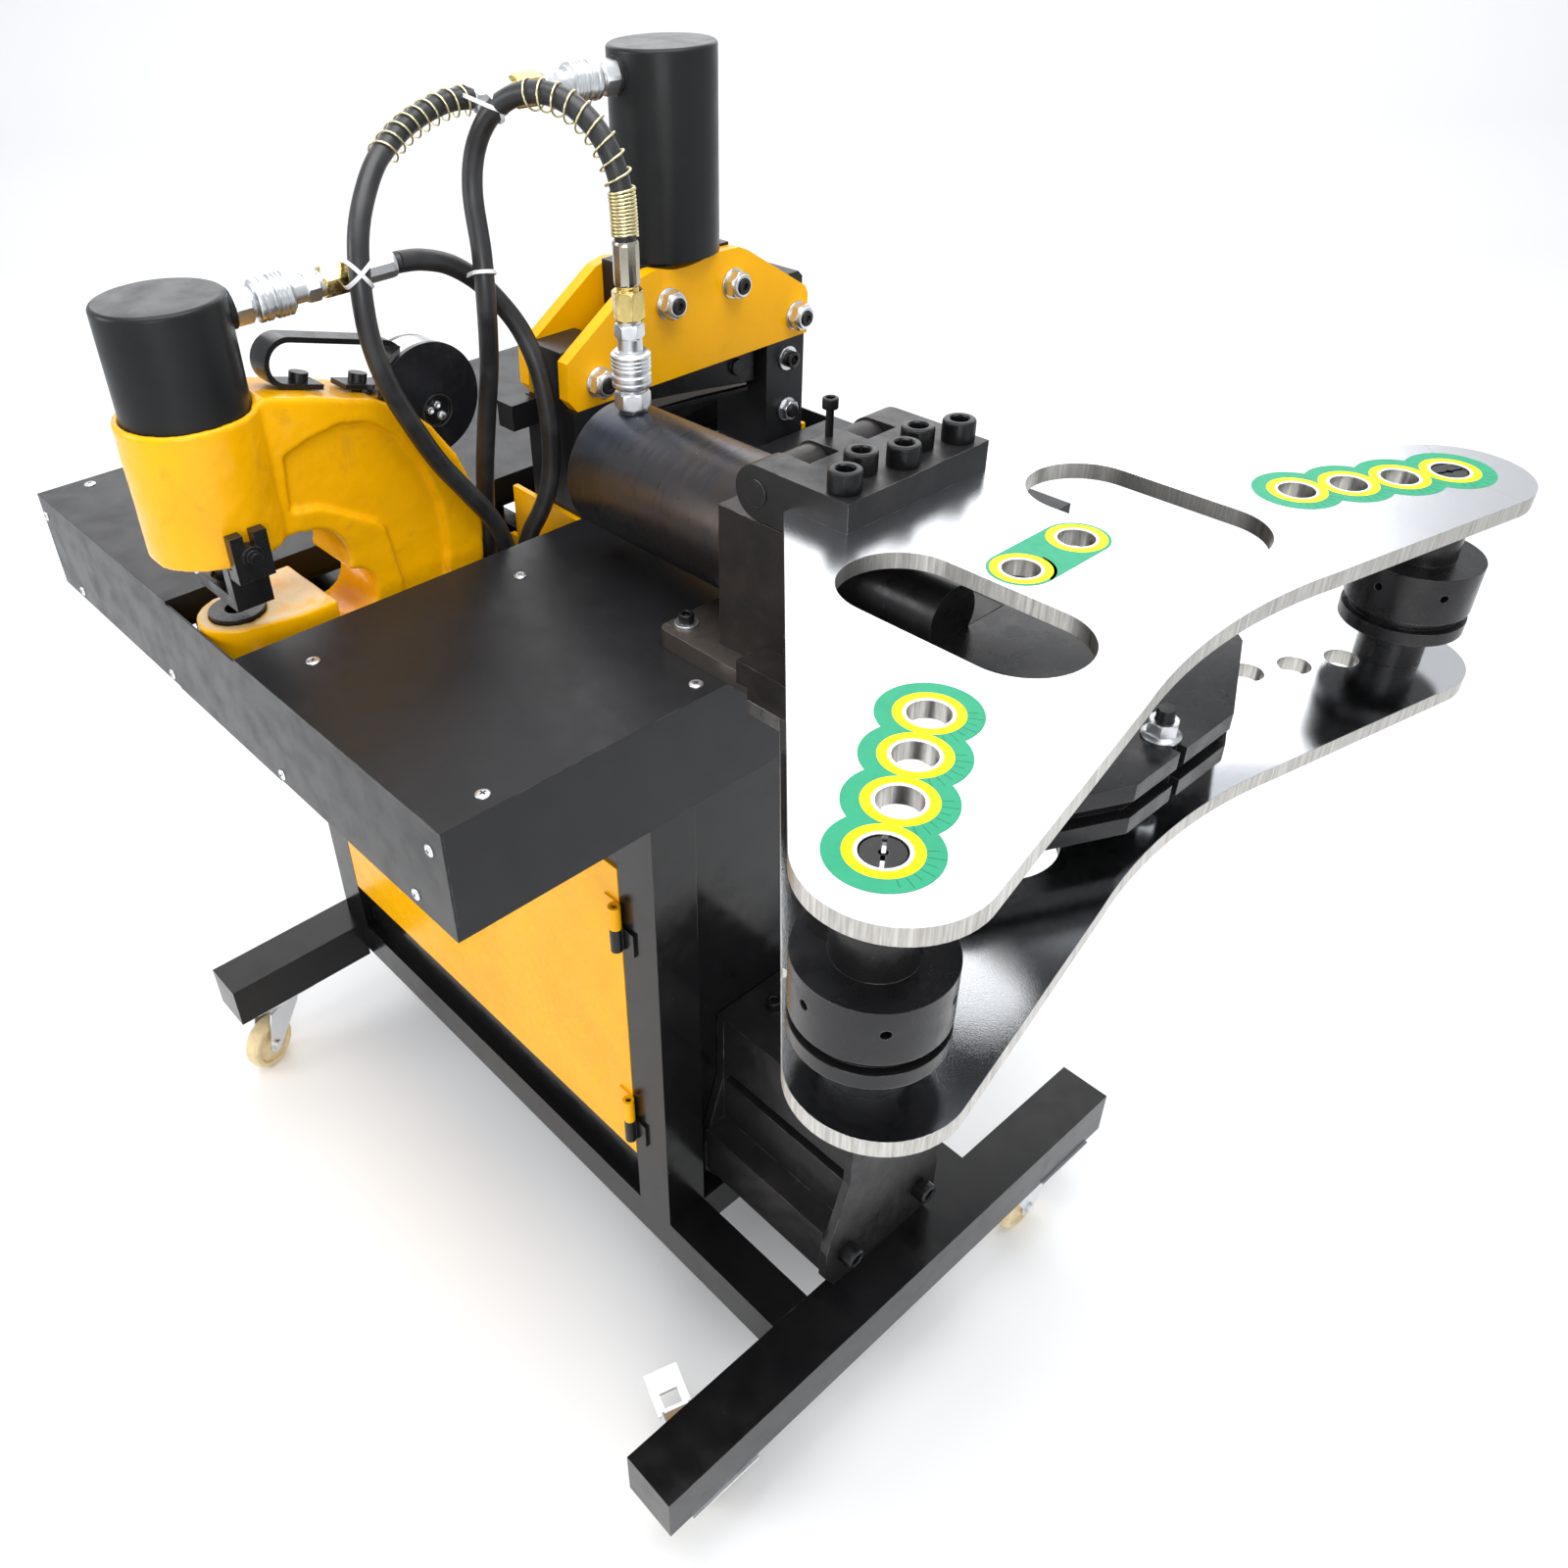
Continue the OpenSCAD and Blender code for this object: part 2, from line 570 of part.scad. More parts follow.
module cutter_columns() color([0.09, 0.09, 0.09]) difference() {
  union() {
    bx([-192.9, 9, table_bot], [-146.1, 62, 1016]);
    bx([-192.9, 260, table_bot], [-146.1, 314, 1010]);
    bx([-207, 9, table_bot], [-132, 62, 962.9]);
    bx([-207, 260, table_bot], [-132, 314, 962.9]);
    bx([-207, 61, table_bot], [-132, 261, 850]);
    bx([-192.9, 100, 1030], [-146.1, 219.5, 1071.9]);
    yz(-192.9, -146.1) polygon([[262, 962.9], [314, 962.9], [324, 975], [324, 1017], [318, 1023], [262, 1023]]);
    rz([cut_x, cut_y, 1050], 22, 23);
    bx([-214, -20, 937], [-190, 10, 962]);
    bx([-160, 100, 849], [-148, 222, 872]);
  }
  for (y = [40, 301]) rx([-250, y, 985], 140, 8.1);
  for (y = [128, 212]) rx([-250, y, 1037], 140, 8.1);
  rz([cut_x, cut_y, 1020], 80, 14.06);
}

module cutter_cylinder() color([0.10, 0.10, 0.105]) difference() {
  rz([cut_x, cut_y, 1072], cut_top - 1072, cut_r);
  rz([cut_x, cut_y, 1071], 150, 36.05);
}

module cutter_crosshead() color([0.16, 0.16, 0.17]) {
  bx([-190, 64, 925], [-149, 258, 975]);
  yz(-176, -164) polygon([[70, 925.1], [252, 925.1], [252, 912], [70, 892]]);
  rz([cut_x, cut_y, 974], 90, 14);
  rz([cut_x, cut_y, 1120], 40, 36);
  rz([cut_x, cut_y, 1060], 70, 14);
}

module nyloc(x, y, z) {
  rx([x, y, z], 2, 13.5);
  translate([x + 2, y, z]) rotate([0, 90, 0]) { hex([0, 0, 0], 11, 24); cylinder(h = 14, r = 10.2); }
  rx([x + 15, y, z], 3, 6.6);
}

module cutter_fasteners() color(ZNC) {
  for (p = [[40, 985], [128, 1037], [212, 1037], [301, 985]]) {
    rx([-214, p[0], p[1]], 84, 8);
    nyloc(-132, p[0], p[1]);
    translate([-207, p[0], p[1]]) rotate([0, -90, 0]) hex([0, 0, 0], 10, 24);
  }
  for (z = [943, 888]) {
    difference() { rx([-132, 290, z], 12, 8); translate([-126, 290, z]) rotate([0, 90, 0]) hex([0, 0, 0], 10, 8); }
    rx([-132, 290, z], 2, 11);
  }
}

// ---------------- hydraulics ----------------
cp_b = [-33, 0, ram_z + bend_r + 2];
cp_p = [punch_x + 0.14 * 52, punch_y + 0.99 * 52, 1114];
cp_c = [cut_x - 0.14 * 49.6, cut_y - 0.99 * 49.6, 1226];
module at_bend() translate(cp_b) children();
module at_punch() translate(cp_p) rotate([0, 0, -8]) rotate([-86.5, 0, 0]) children();
module at_cut() translate(cp_c) rotate([0, 0, -8]) rotate([90, 0, 0]) children();

module coupler() {
  hex([0, 0, 0], 16, 27);
  rz([0, 0, 15], 6, 12);
  rz([0, 0, 20], 12, 17);
  rz([0, 0, 31], 3, 15.5);
  rz([0, 0, 33], 14, 17);
  rz([0, 0, 46], 4, 14);
  rz([0, 0, 49], 26, 10.5);
  hex([0, 0, 60], 12, 22);
}

module adapter() {
  hex([0, 0, 75.2], 24, 24);
  rz([0, 0, 99], 4, 9);
  rz([0, 0, 102], 36, 11);
}

module quick_couplers() color(ZNC) { at_bend() coupler(); at_punch() coupler(); at_cut() coupler(); }
module hose_adapters() color([0.75, 0.66, 0.35]) { at_bend() adapter(); at_punch() adapter(); at_cut() adapter(); }

// routes of the three hoses, from the coupler end to the valve block
rt_b = [[-33, 0, 1139], [-36, 0, 1179], [-48, -4, 1209], [-69.6, -10.9, 1230], [-97.2, -19.8, 1239.5],
  [-126, -29.1, 1235.9], [-150.7, -37.5, 1219.8], [-166.8, -44.1, 1193.7], [-170.5, -49, 1160.6],
  [-158.4, -54.6, 1115.4], [-155.1, -57.9, 1070.8], [-170.9, -51.8, 1015.8], [-183, -53.2, 962.4],
  [-190.5, -56.9, 910.8], [-197, -58, 860], [-205, -56, 805], [-216, -51, 740], [-227, -45, 670],
  [-230, -42.5, 613]];
rt_p = [[-166, -131.5, 1122.6], [-168.5, -108.2, 1119.3], [-176.1, -77.3, 1107.5], [-183.5, -47.2, 1086.7],
  [-181.7, -26.9, 1063.5], [-172.3, -12.8, 1036.2], [-160.9, -6, 1002.2], [-154, -4.2, 958.5],
  [-153.8, -5.5, 914.6], [-156.5, -11, 884], [-161.5, -18, 863], [-168.5, -28, 841], [-172.5, -35, 815],
  [-170.5, -37.5, 780], [-161, -35.5, 732], [-152, -32.5, 680], [-150, -32, 640], [-150, -32, 613]];
rt_c = [[-195.7, -24.4, 1226], [-198, -46, 1226], [-195, -76, 1220], [-187, -106, 1210], [-174.9, -136, 1192.6],
  [-158.9, -163.8, 1160.3], [-147.2, -177.4, 1123.4], [-143.2, -179.5, 1078.8], [-142.8, -170.7, 1037.6],
  [-144.4, -152.8, 996.5],
  [-146, -131, 955], [-146.5, -106, 918], [-149, -82, 882], [-154, -66, 842], [-163, -61, 795], [-177, -61, 735],
  [-188, -62, 670], [-190, -62, 613]];

function cat(a, b, c, d, t) = 0.5 * (2 * b + (c - a) * t + (2 * a - 5 * b + 4 * c - d) * t * t
  + (3 * b - a - 3 * c + d) * t * t * t);
function rt_at(p, i, t) = cat(p[max(i - 1, 0)], p[i], p[min(i + 1, len(p) - 1)], p[min(i + 2, len(p) - 1)], t);
function unit(v) = v / norm(v);
module hose(p, ref) {
  n = len(p);
  steps = (n - 1) * 1;
  pts = [for (i = [0 : steps]) p[i]];
  tan = [for (i = [0 : steps]) unit(pts[min(i + 1, steps)] - pts[max(i - 1, 0)])];
  ring = [for (i = [0 : steps]) let (u = unit(cross(tan[i], ref)), v = cross(tan[i], u))
    for (k = [0 : hose_n - 1]) pts[i] + hose_d / 2 * (u * cos(k * 360 / hose_n) + v * sin(k * 360 / hose_n))];
  faces = concat([[for (k = [0 : hose_n - 1]) k]],
    [for (i = [0 : steps - 1]) for (k = [0 : hose_n - 1]) let (a = i * hose_n + k, b = i * hose_n + (k + 1) % hose_n)
      [b, a, a + hose_n, b + hose_n]],
    [[for (k = [hose_n - 1 : -1 : 0]) steps * hose_n + k]]);
  polyhedron(points = ring, faces = faces, convexity = 8);
}
module hose_bender() color([0.07, 0.07, 0.07]) hose(rt_b, [0.26, -0.966, 0]);
module hose_cutter() color([0.07, 0.07, 0.07]) hose(rt_c, [1, 0, 0]);
module hose_punch() color([0.07, 0.07, 0.07]) hose(rt_p, [1, 0, 0]);

// a stretch of guard round a hose, between two route points
module sleeve(a, b, r, t) {
  d = b - a; l = norm(d);
  translate(a) rotate([0, acos(d[2] / l), atan2(d[1], d[0])]) difference() {
    cylinder(h = l, r = r + t); translate([0, 0, -1]) cylinder(h = l + 2, r = r);
  }
}
module spring_guards() color([0.80, 0.74, 0.45]) {
  sleeve(rt_b[0] + [0, 0, 1], rt_b[1], 9.6, 2);
  for (j = [1 : 3], i = [0 : 2]) sleeve(rt_at(rt_b, j, i / 3 + 0.1), rt_at(rt_b, j, i / 3 + 0.17), 11.4, 1.4);
  for (j = [1 : 3], i = [0 : 2]) sleeve(rt_at(rt_c, j, i / 3), rt_at(rt_c, j, i / 3 + 0.05), 11.4, 1.4);
}
module cable_ties() color([0.92, 0.92, 0.92]) {
  d = 2.4 * unit(rt_b[10] - rt_b[8]);
  e = 2.4 * unit(rt_p[3] - rt_p[1]);
  sleeve(rt_b[9] - d, rt_b[9] + d, 9.8, 1.3);
  sleeve(rt_p[2] - e, rt_p[2] + e, 10, 1.4);
}

module pump_unit() color([0.30, 0.32, 0.34]) {
  bx([-430, -88, 157], [-70, 88, 380]);
  bx([-280, -78, 380], [-110, -2, 540]);
  bx([-250, -78, 540], [-130, -12, 600]);
  for (p = [[-230, -42], [-190, -62], [-150, -32]]) hex([p[0], p[1], 600], 12, 24);
  rz([-350, 20, 380], 190, 62);
  rz([-350, 20, 570], 30, 66);
}

foot_tubes();
base_frame();
cabinet_frame();
cabinet_panels();
door_panel();
door_hinge_lower();
table_top_sheets();
table_side_aprons();
table_frame();
table_screws();
tool_shelf();
slot_gussets();
caster_plates();
fork_front_near();
fork_front_far();
fork_rear_near();
fork_rear_far();
wheel_front_near();
wheel_front_far();
wheel_rear_near();
wheel_rear_far();
pedal_near();
pedal_far();
bender_cylinder();
head_block();
mount_bar();
black_screws();
foot_plate();
hinge_pin();
hinge_leaf();
leaf_screws();
top_wing();
bottom_wing();
roller_near();
roller_far();
roller_pins();
ram();
former();
former_bolt();
lower_bracket();
punch_frame();
punch_cylinder();
punch_ram();
punch_die();
stripper_fork();
carry_strap();
oil_canister();
cutter_plates();
cutter_columns();
cutter_cylinder();
cutter_crosshead();
cutter_fasteners();
quick_couplers();
hose_adapters();
hose_bender();
hose_cutter();
hose_punch();
spring_guards();
cable_ties();
pump_unit();
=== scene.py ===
import math
import random

import bmesh
import bpy
from mathutils import Matrix, Quaternion, Vector


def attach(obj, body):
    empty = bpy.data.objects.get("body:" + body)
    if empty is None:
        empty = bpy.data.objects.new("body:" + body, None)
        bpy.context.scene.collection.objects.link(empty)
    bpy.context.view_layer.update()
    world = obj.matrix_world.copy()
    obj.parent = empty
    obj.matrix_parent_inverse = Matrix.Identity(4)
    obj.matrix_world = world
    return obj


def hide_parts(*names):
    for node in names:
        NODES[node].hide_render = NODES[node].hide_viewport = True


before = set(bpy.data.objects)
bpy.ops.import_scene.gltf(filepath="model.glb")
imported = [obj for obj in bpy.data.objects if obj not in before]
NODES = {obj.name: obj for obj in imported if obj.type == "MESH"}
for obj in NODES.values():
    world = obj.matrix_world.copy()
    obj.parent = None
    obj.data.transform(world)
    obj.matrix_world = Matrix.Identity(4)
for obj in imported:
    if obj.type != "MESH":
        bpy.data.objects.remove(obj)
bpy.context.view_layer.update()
# Lengths below are millimetres in the part's own frame and are turned into metres with MM.
scene = bpy.context.scene
MM = 0.001
random.seed(7)


# ------------------------------------------------------------------ camera
cam_data = bpy.data.cameras.new("camera")
cam = bpy.data.objects.new("camera", cam_data)
scene.collection.objects.link(cam)
right = Vector((0.6585164, 0.7519234, -0.0311013))
down = Vector((0.4317373, -0.4113092, -0.8027625))
ahead = Vector((-0.6164082, 0.5152047, -0.5954873))
turn = Matrix((right, -down, -ahead)).transposed().to_4x4()
cam.matrix_world = Matrix.Translation((0.8114265, -0.6834307, 1.4286517)) @ turn
cam_data.sensor_width = 36
cam_data.lens = 30.173
cam_data.shift_x = 0.0748
cam_data.shift_y = -0.0166
cam_data.clip_start = 0.05
scene.camera = cam
scene.view_settings.view_transform = "Standard"


# ------------------------------------------------------------------ materials
def srgb(r, g, b):
    """Linear colour from display values of 0 to 255."""
    out = []
    for c in (r, g, b):
        c = c / 255
        out.append(c / 12.92 if c <= 0.04045 else ((c + 0.055) / 1.055) ** 2.4)
    return (*out, 1)


class Shade:
    """Small helper that wires a procedural material."""

    def __init__(self, name):
        self.m = bpy.data.materials.new(name)
        self.m.use_nodes = True
        self.t = self.m.node_tree
        self.t.nodes.clear()
        self.out = self.add("ShaderNodeOutputMaterial")
        self.b = self.add("ShaderNodeBsdfPrincipled")
        self.link(self.b.outputs[0], self.out.inputs[0])
        self.co = self.add("ShaderNodeTexCoord").outputs["Object"]

    def add(self, kind, **props):
        n = self.t.nodes.new(kind)
        for k, v in props.items():
            setattr(n, k, v)
        return n

    def link(self, a, b):
        self.t.links.new(a, b)

    def put(self, value, socket):
        if hasattr(value, "is_output"):
            self.link(value, socket)
        else:
            socket.default_value = value

    def scaled(self, x, y, z):
        n = self.add("ShaderNodeMapping")
        n.inputs["Scale"].default_value = (x, y, z)
        self.link(self.co, n.inputs["Vector"])
        return n.outputs[0]

    def noise(self, scale, detail=3, rough=0.55, co=None, distort=0):
        n = self.add("ShaderNodeTexNoise")
        n.inputs["Scale"].default_value = scale
        n.inputs["Detail"].default_value = detail
        n.inputs["Roughness"].default_value = rough
        n.inputs["Distortion"].default_value = distort
        self.link(co or self.co, n.inputs["Vector"])
        return n.outputs["Fac"]

    def ramp(self, value, lo, hi, a=0.0, b=1.0):
        n = self.add("ShaderNodeMapRange")
        n.interpolation_type = "SMOOTHSTEP"
        self.link(value, n.inputs["Value"])
        for key, v in (("From Min", lo), ("From Max", hi), ("To Min", a), ("To Max", b)):
            n.inputs[key].default_value = v
        return n.outputs[0]

    def math(self, op, a, b=0.5):
        n = self.add("ShaderNodeMath", operation=op)
        self.put(a, n.inputs[0])
        self.put(b, n.inputs[1])
        return n.outputs[0]

    def mix(self, fac, a, b):
        n = self.add("ShaderNodeMix", data_type="RGBA")
        self.put(fac, n.inputs["Factor"])
        self.put(a, n.inputs[6])
        self.put(b, n.inputs[7])
        return n.outputs[2]

    def edge(self, radius, lo=0.03, hi=0.25):
        """1 on a worn outer edge, from the difference between the rounded and the real normal."""
        bev = self.add("ShaderNodeBevel", samples=4)
        bev.inputs["Radius"].default_value = radius
        geo = self.add("ShaderNodeNewGeometry")
        dot = self.add("ShaderNodeVectorMath", operation="DOT_PRODUCT")
        self.link(bev.outputs[0], dot.inputs[0])
        self.link(geo.outputs["Normal"], dot.inputs[1])
        gap = self.math("SUBTRACT", 1.0, dot.outputs["Value"])
        return self.ramp(gap, lo, hi)

    def surface(self, colour, rough, metal=0.0, bumps=(), round_=0.0006, coat=0.0, coat_rough=0.08, spec=0.5):
        self.put(colour, self.b.inputs["Base Color"])
        self.put(rough, self.b.inputs["Roughness"])
        self.put(metal, self.b.inputs["Metallic"])
        self.b.inputs["Coat Weight"].default_value = coat
        self.b.inputs["Coat Roughness"].default_value = coat_rough
        self.b.inputs["Specular IOR Level"].default_value = spec
        normal = None
        if round_:
            bev = self.add("ShaderNodeBevel", samples=4)
            bev.inputs["Radius"].default_value = round_
            normal = bev.outputs[0]
        for height, depth in bumps:
            n = self.add("ShaderNodeBump")
            n.inputs["Strength"].default_value = 1.0
            n.inputs["Distance"].default_value = depth
            self.link(height, n.inputs["Height"])
            if normal is not None:
                self.link(normal, n.inputs["Normal"])
            normal = n.outputs[0]
        if normal is not None:
            self.link(normal, self.b.inputs["Normal"])
        return self.m


def paint(name, colour, rough, grain=0.00002, grain_scale=900, coat=0.3, wear=0.0, dark=None, lumps=0.0,
          dust=0.12, spec=0.5, worn=False):
    """Sprayed paint with faint clouds, grime, chipped edges and optional casting lumps."""
    s = Shade(name)
    cloud = s.ramp(s.noise(9, 5), 0.3, 0.75)
    c = s.mix(cloud, colour, tuple(x * 0.86 for x in colour[:3]) + (1,))
    grime = s.math("MULTIPLY", s.ramp(s.noise(26, 8, 0.7, distort=0.6), 0.56, 0.72), dust)
    c = s.mix(grime, c, dark or tuple(0.5 * x + 0.03 for x in colour[:3]) + (1,))
    if wear:
        chips = s.math("MULTIPLY", s.edge(0.0011), s.ramp(s.noise(70, 6), 0.46, 0.62))
        c = s.mix(s.math("MULTIPLY", chips, wear), c, (0.32, 0.31, 0.3, 1))
    r = s.math("ADD", rough, s.ramp(s.noise(38, 6), 0.3, 0.8, -0.05, 0.09))
    bumps = [(s.noise(grain_scale, 2), grain)]
    if lumps:
        bumps = [(s.noise(26, 4, 0.5), lumps), (s.noise(150, 4, 0.6), lumps * 0.15)] + bumps
    if worn:
        # paler patches on the upward faces of the lower jaw
        c = pale_top_patches(s, c)
    return s.surface(c, r, 0.0, bumps, 0.0008, coat, spec=spec)


def pale_top_patches(s, c):
    """Paler paint in noisy patches on the upward faces of the casting's lower jaw, about 850 to 870 mm high.
    """
    co = s.add("ShaderNodeSeparateXYZ")
    s.link(s.co, co.inputs[0])
    geo = s.add("ShaderNodeNewGeometry")
    up = s.add("ShaderNodeSeparateXYZ")
    s.link(geo.outputs["Normal"], up.inputs[0])
    flat = s.ramp(up.outputs[2], 0.8, 0.97)
    above = s.ramp(co.outputs[2], 0.845, 0.855)
    low = s.math("MULTIPLY", above, s.ramp(co.outputs[2], 0.872, 0.868, 0.0, 1.0))
    patch = s.ramp(s.noise(34, 5, 0.6), 0.3, 0.5)
    # paler colour where the face points up, between about 850 and 870 mm high, in noisy patches
    return s.mix(s.math("MULTIPLY", s.math("MULTIPLY", flat, low), patch), c, (0.78, 0.56, 0.24, 1))


def oxide(name, base=(0.024, 0.0235, 0.0245, 1), rough=0.4, wear=0.6, metal=0.55,
          stain=(0.042, 0.038, 0.037, 1)):
    """Blackened steel with stains and rubbed edges."""
    s = Shade(name)
    c = s.mix(s.ramp(s.noise(14, 6, 0.65), 0.42, 0.72), base, stain)
    c = s.mix(s.math("MULTIPLY", s.ramp(s.noise(110, 6, 0.7), 0.62, 0.74), 0.35), c, (0.12, 0.115, 0.11, 1))
    edge = s.math("MULTIPLY", s.edge(0.0010), s.ramp(s.noise(55, 6), 0.40, 0.62))
    c = s.mix(s.math("MULTIPLY", edge, wear), c, (0.38, 0.36, 0.34, 1))
    r = s.math("ADD", rough, s.ramp(s.noise(60, 6), 0.3, 0.8, -0.09, 0.10))
    return s.surface(c, r, metal, [(s.noise(700, 3), 0.00003), (s.noise(60, 3), 0.00008)], 0.0007)


def bright(name, colour, rough, grain=0.00001, grain_scale=500, stretch=(1, 1, 1), stain=0.15, vary=0.4):
    """Bare or plated metal with a fine grain and uneven polish."""
    s = Shade(name)
    co = s.scaled(*stretch)
    c = s.mix(s.ramp(s.noise(11, 6, 0.6), 0.4, 0.8), colour, tuple(x * 0.82 for x in colour[:3]) + (1,))
    spots = s.math("MULTIPLY", s.ramp(s.noise(230, 5, 0.75), 0.66, 0.75), stain)
    c = s.mix(spots, c, (0.16, 0.14, 0.12, 1))
    polish = s.noise(grain_scale * 0.4, 5, 0.7, co=co)
    r = s.math("ADD", rough, s.ramp(polish, 0.35, 0.7, -rough * vary, rough * vary))
    bumps = [(s.noise(grain_scale, 3, co=co), grain)]
    return s.surface(c, r, 1.0, bumps, 0.0005)


def cut_face(s, c, r):
    """Machined streaks on faces that stand upright, such as the cut edge of a plate."""
    geo = s.add("ShaderNodeNewGeometry")
    z = s.add("ShaderNodeSeparateXYZ")
    s.link(geo.outputs["Normal"], z.inputs[0])
    flat = s.ramp(s.math("ABSOLUTE", z.outputs[2]), 0.5, 0.8)
    streak = s.noise(520, 4, 0.65, co=s.scaled(1, 1, 0.05))
    side = s.mix(s.ramp(streak, 0.3, 0.75), (0.56, 0.55, 0.52, 1), (0.36, 0.34, 0.31, 1))
    rr = s.mix(flat, s.ramp(streak, 0.3, 0.7, 0.26, 0.42), r)
    return s.mix(flat, side, c), rr


def plated(name, tint, rough, speck):
    """Plated plate: a mirror with a fine speckle that breaks up reflections."""
    s = Shade(name)
    c = s.mix(s.ramp(s.noise(6, 4), 0.35, 0.75), tint, tuple(x * 0.93 for x in tint[:3]) + (1,))
    dots = s.math("MULTIPLY", s.ramp(s.noise(420, 4, 0.75), 0.66, 0.74), 0.25)
    c = s.mix(dots, c, (0.2, 0.19, 0.18, 1))
    scratch = s.ramp(s.noise(90, 6, 0.8, co=s.scaled(0.12, 6, 1), distort=0.4), 0.64, 0.7, 0.0, 0.04)
    r = s.math("ADD", s.math("ADD", rough, scratch), s.ramp(s.noise(1400, 3, 0.8), 0.4, 0.75, 0.0, 0.08))
    c, r = cut_face(s, c, r)
    return s.surface(c, r, 1.0, [(s.noise(900, 4, 0.8), speck), (s.noise(9, 2), 0.00004)], 0.0006)


YEL = srgb(252, 181, 0)
M = {
    "powder": paint("powder_black", (0.014, 0.014, 0.0155, 1), 0.33, 0.00006, 1300, 0.0, 0.25, spec=0.22),
    "gloss": paint("gloss_black", (0.006, 0.006, 0.0065, 1), 0.2, 0.00001, 300, 0.0, 0.25, spec=0.3),
    "yellow": paint("yellow_gloss", YEL, 0.26, 0.000012, 240, 0.05, 0.12, srgb(190, 120, 20), spec=0.14),
    "cast": paint("yellow_casting", YEL, 0.27, 0.00002, 500, 0.25, 0.15, srgb(176, 120, 40), 0.0014, 0.35,
                  0.2, True),
    "satin": paint("satin_black", (0.014, 0.0145, 0.015, 1), 0.33, 0.00002, 700, 0.0, 0.1, spec=0.22),
    "oxide": oxide("black_oxide"),
    "oxide_soft": oxide("black_oxide_smooth", (0.017, 0.017, 0.0185, 1), 0.3, 0.35, 0.5,
                        (0.03, 0.028, 0.028, 1)),
    "head": oxide("forged_block", (0.026, 0.023, 0.022, 1), 0.42, 0.7, 0.5, (0.046, 0.034, 0.029, 1)),
    "screw": oxide("screw_black", (0.012, 0.012, 0.013, 1), 0.34, 0.3, 0.5, (0.02, 0.019, 0.019, 1)),
    "zinc": bright("zinc_plate", (0.74, 0.76, 0.78, 1), 0.36, 0.000001, stain=0.02, vary=0.12),
    "zinc_yellow": bright("yellow_zinc", (0.80, 0.72, 0.42, 1), 0.30, 0.000004, stain=0.08),
    "brass": bright("brass_plate", (0.72, 0.56, 0.22, 1), 0.26, 0.000004, stain=0.08),
    "ferrule": bright("ferrule_steel", (0.46, 0.42, 0.34, 1), 0.26, 0.000004, stretch=(1, 1, 0.1),
                      stain=0.08),
    "rod": bright("rod_chrome", (0.74, 0.75, 0.77, 1), 0.1),
    "ground": bright("ground_steel", (0.25, 0.215, 0.19, 1), 0.42, 0.000002, 900, (1, 0.3, 1), 0.0, 0.06),
    "top": plated("plated_upper", (0.72, 0.735, 0.76, 1), 0.2, 0.00005),
    "bottom": plated("plated_lower", (0.72, 0.73, 0.75, 1), 0.06, 0.000035),
    "pump": paint("pump_grey", (0.12, 0.13, 0.14, 1), 0.4, 0.00003, 500, 0.1, 0.3),
}


def blued():
    """Heat-tinted steel of the long cylinder: dull blue-grey with brown streaks round it."""
    s = Shade("blued_steel")
    x = s.add("ShaderNodeSeparateXYZ")
    s.link(s.co, x.inputs[0])
    band = s.ramp(x.outputs[0], -0.06, 0.15)
    c = s.mix(band, (0.085, 0.087, 0.10, 1), (0.066, 0.056, 0.052, 1))
    c = s.mix(s.ramp(s.noise(16, 5, 0.6, co=s.scaled(1.2, 0.5, 0.5)), 0.42, 0.7), c, (0.05, 0.056, 0.075, 1))
    warm = s.noise(20, 6, 0.6, co=s.scaled(0.8, 0.6, 0.6), distort=0.8)
    c = s.mix(s.ramp(warm, 0.58, 0.85), c, (0.11, 0.095, 0.085, 1))
    c = s.mix(s.math("MULTIPLY", s.edge(0.0015), 0.5), c, (0.4, 0.38, 0.36, 1))
    r = s.ramp(s.noise(45, 6, 0.7, co=s.scaled(5, 0.5, 0.5)), 0.3, 0.75, 0.26, 0.42)
    return s.surface(c, r, 0.85, [(s.noise(900, 3, co=s.scaled(1, 0.1, 0.1)), 0.00002)], 0.001)


def rubber():
    """Black hose rubber with grey scuffs."""
    s = Shade("hose_rubber")
    c = s.mix(s.ramp(s.noise(30, 6), 0.4, 0.75), (0.018, 0.018, 0.019, 1), (0.034, 0.034, 0.035, 1))
    c = s.mix(s.ramp(s.noise(180, 6, 0.8), 0.64, 0.74, 0, 0.4), c, (0.09, 0.088, 0.085, 1))
    r = s.ramp(s.noise(60, 5), 0.3, 0.8, 0.34, 0.52)
    return s.surface(c, r, 0.0, [(s.noise(900, 3), 0.00005), (s.noise(45, 3), 0.0002)], 0)


def nylon(name, colour, dirt):
    """Slightly translucent plastic with dirt in spots."""
    s = Shade(name)
    c = s.mix(s.ramp(s.noise(60, 6, 0.7), 0.45, 0.75), colour, tuple(x * 0.8 for x in colour[:3]) + (1,))
    c = s.mix(s.ramp(s.noise(150, 6, 0.8), 0.58, 0.72, 0, dirt), c, (0.16, 0.12, 0.08, 1))
    s.b.inputs["Subsurface Weight"].default_value = 0.15
    s.b.inputs["Subsurface Radius"].default_value = (0.003, 0.002, 0.0015)
    r = s.ramp(s.noise(90, 4), 0.3, 0.8, 0.3, 0.46)
    return s.surface(c, r, 0.0, [(s.noise(500, 3), 0.00004)], 0.0006)


def ink(name, colour, fade=0.9):
    """Printed film."""
    s = Shade(name)
    c = s.mix(s.ramp(s.noise(80, 5, 0.7), 0.4, 0.8), colour, tuple(x * fade for x in colour[:3]) + (1,))
    r = s.ramp(s.noise(160, 4), 0.3, 0.8, 0.34, 0.46)
    return s.surface(c, r, 0.0, [(s.noise(900, 2), 0.00001)], 0, spec=0.12)


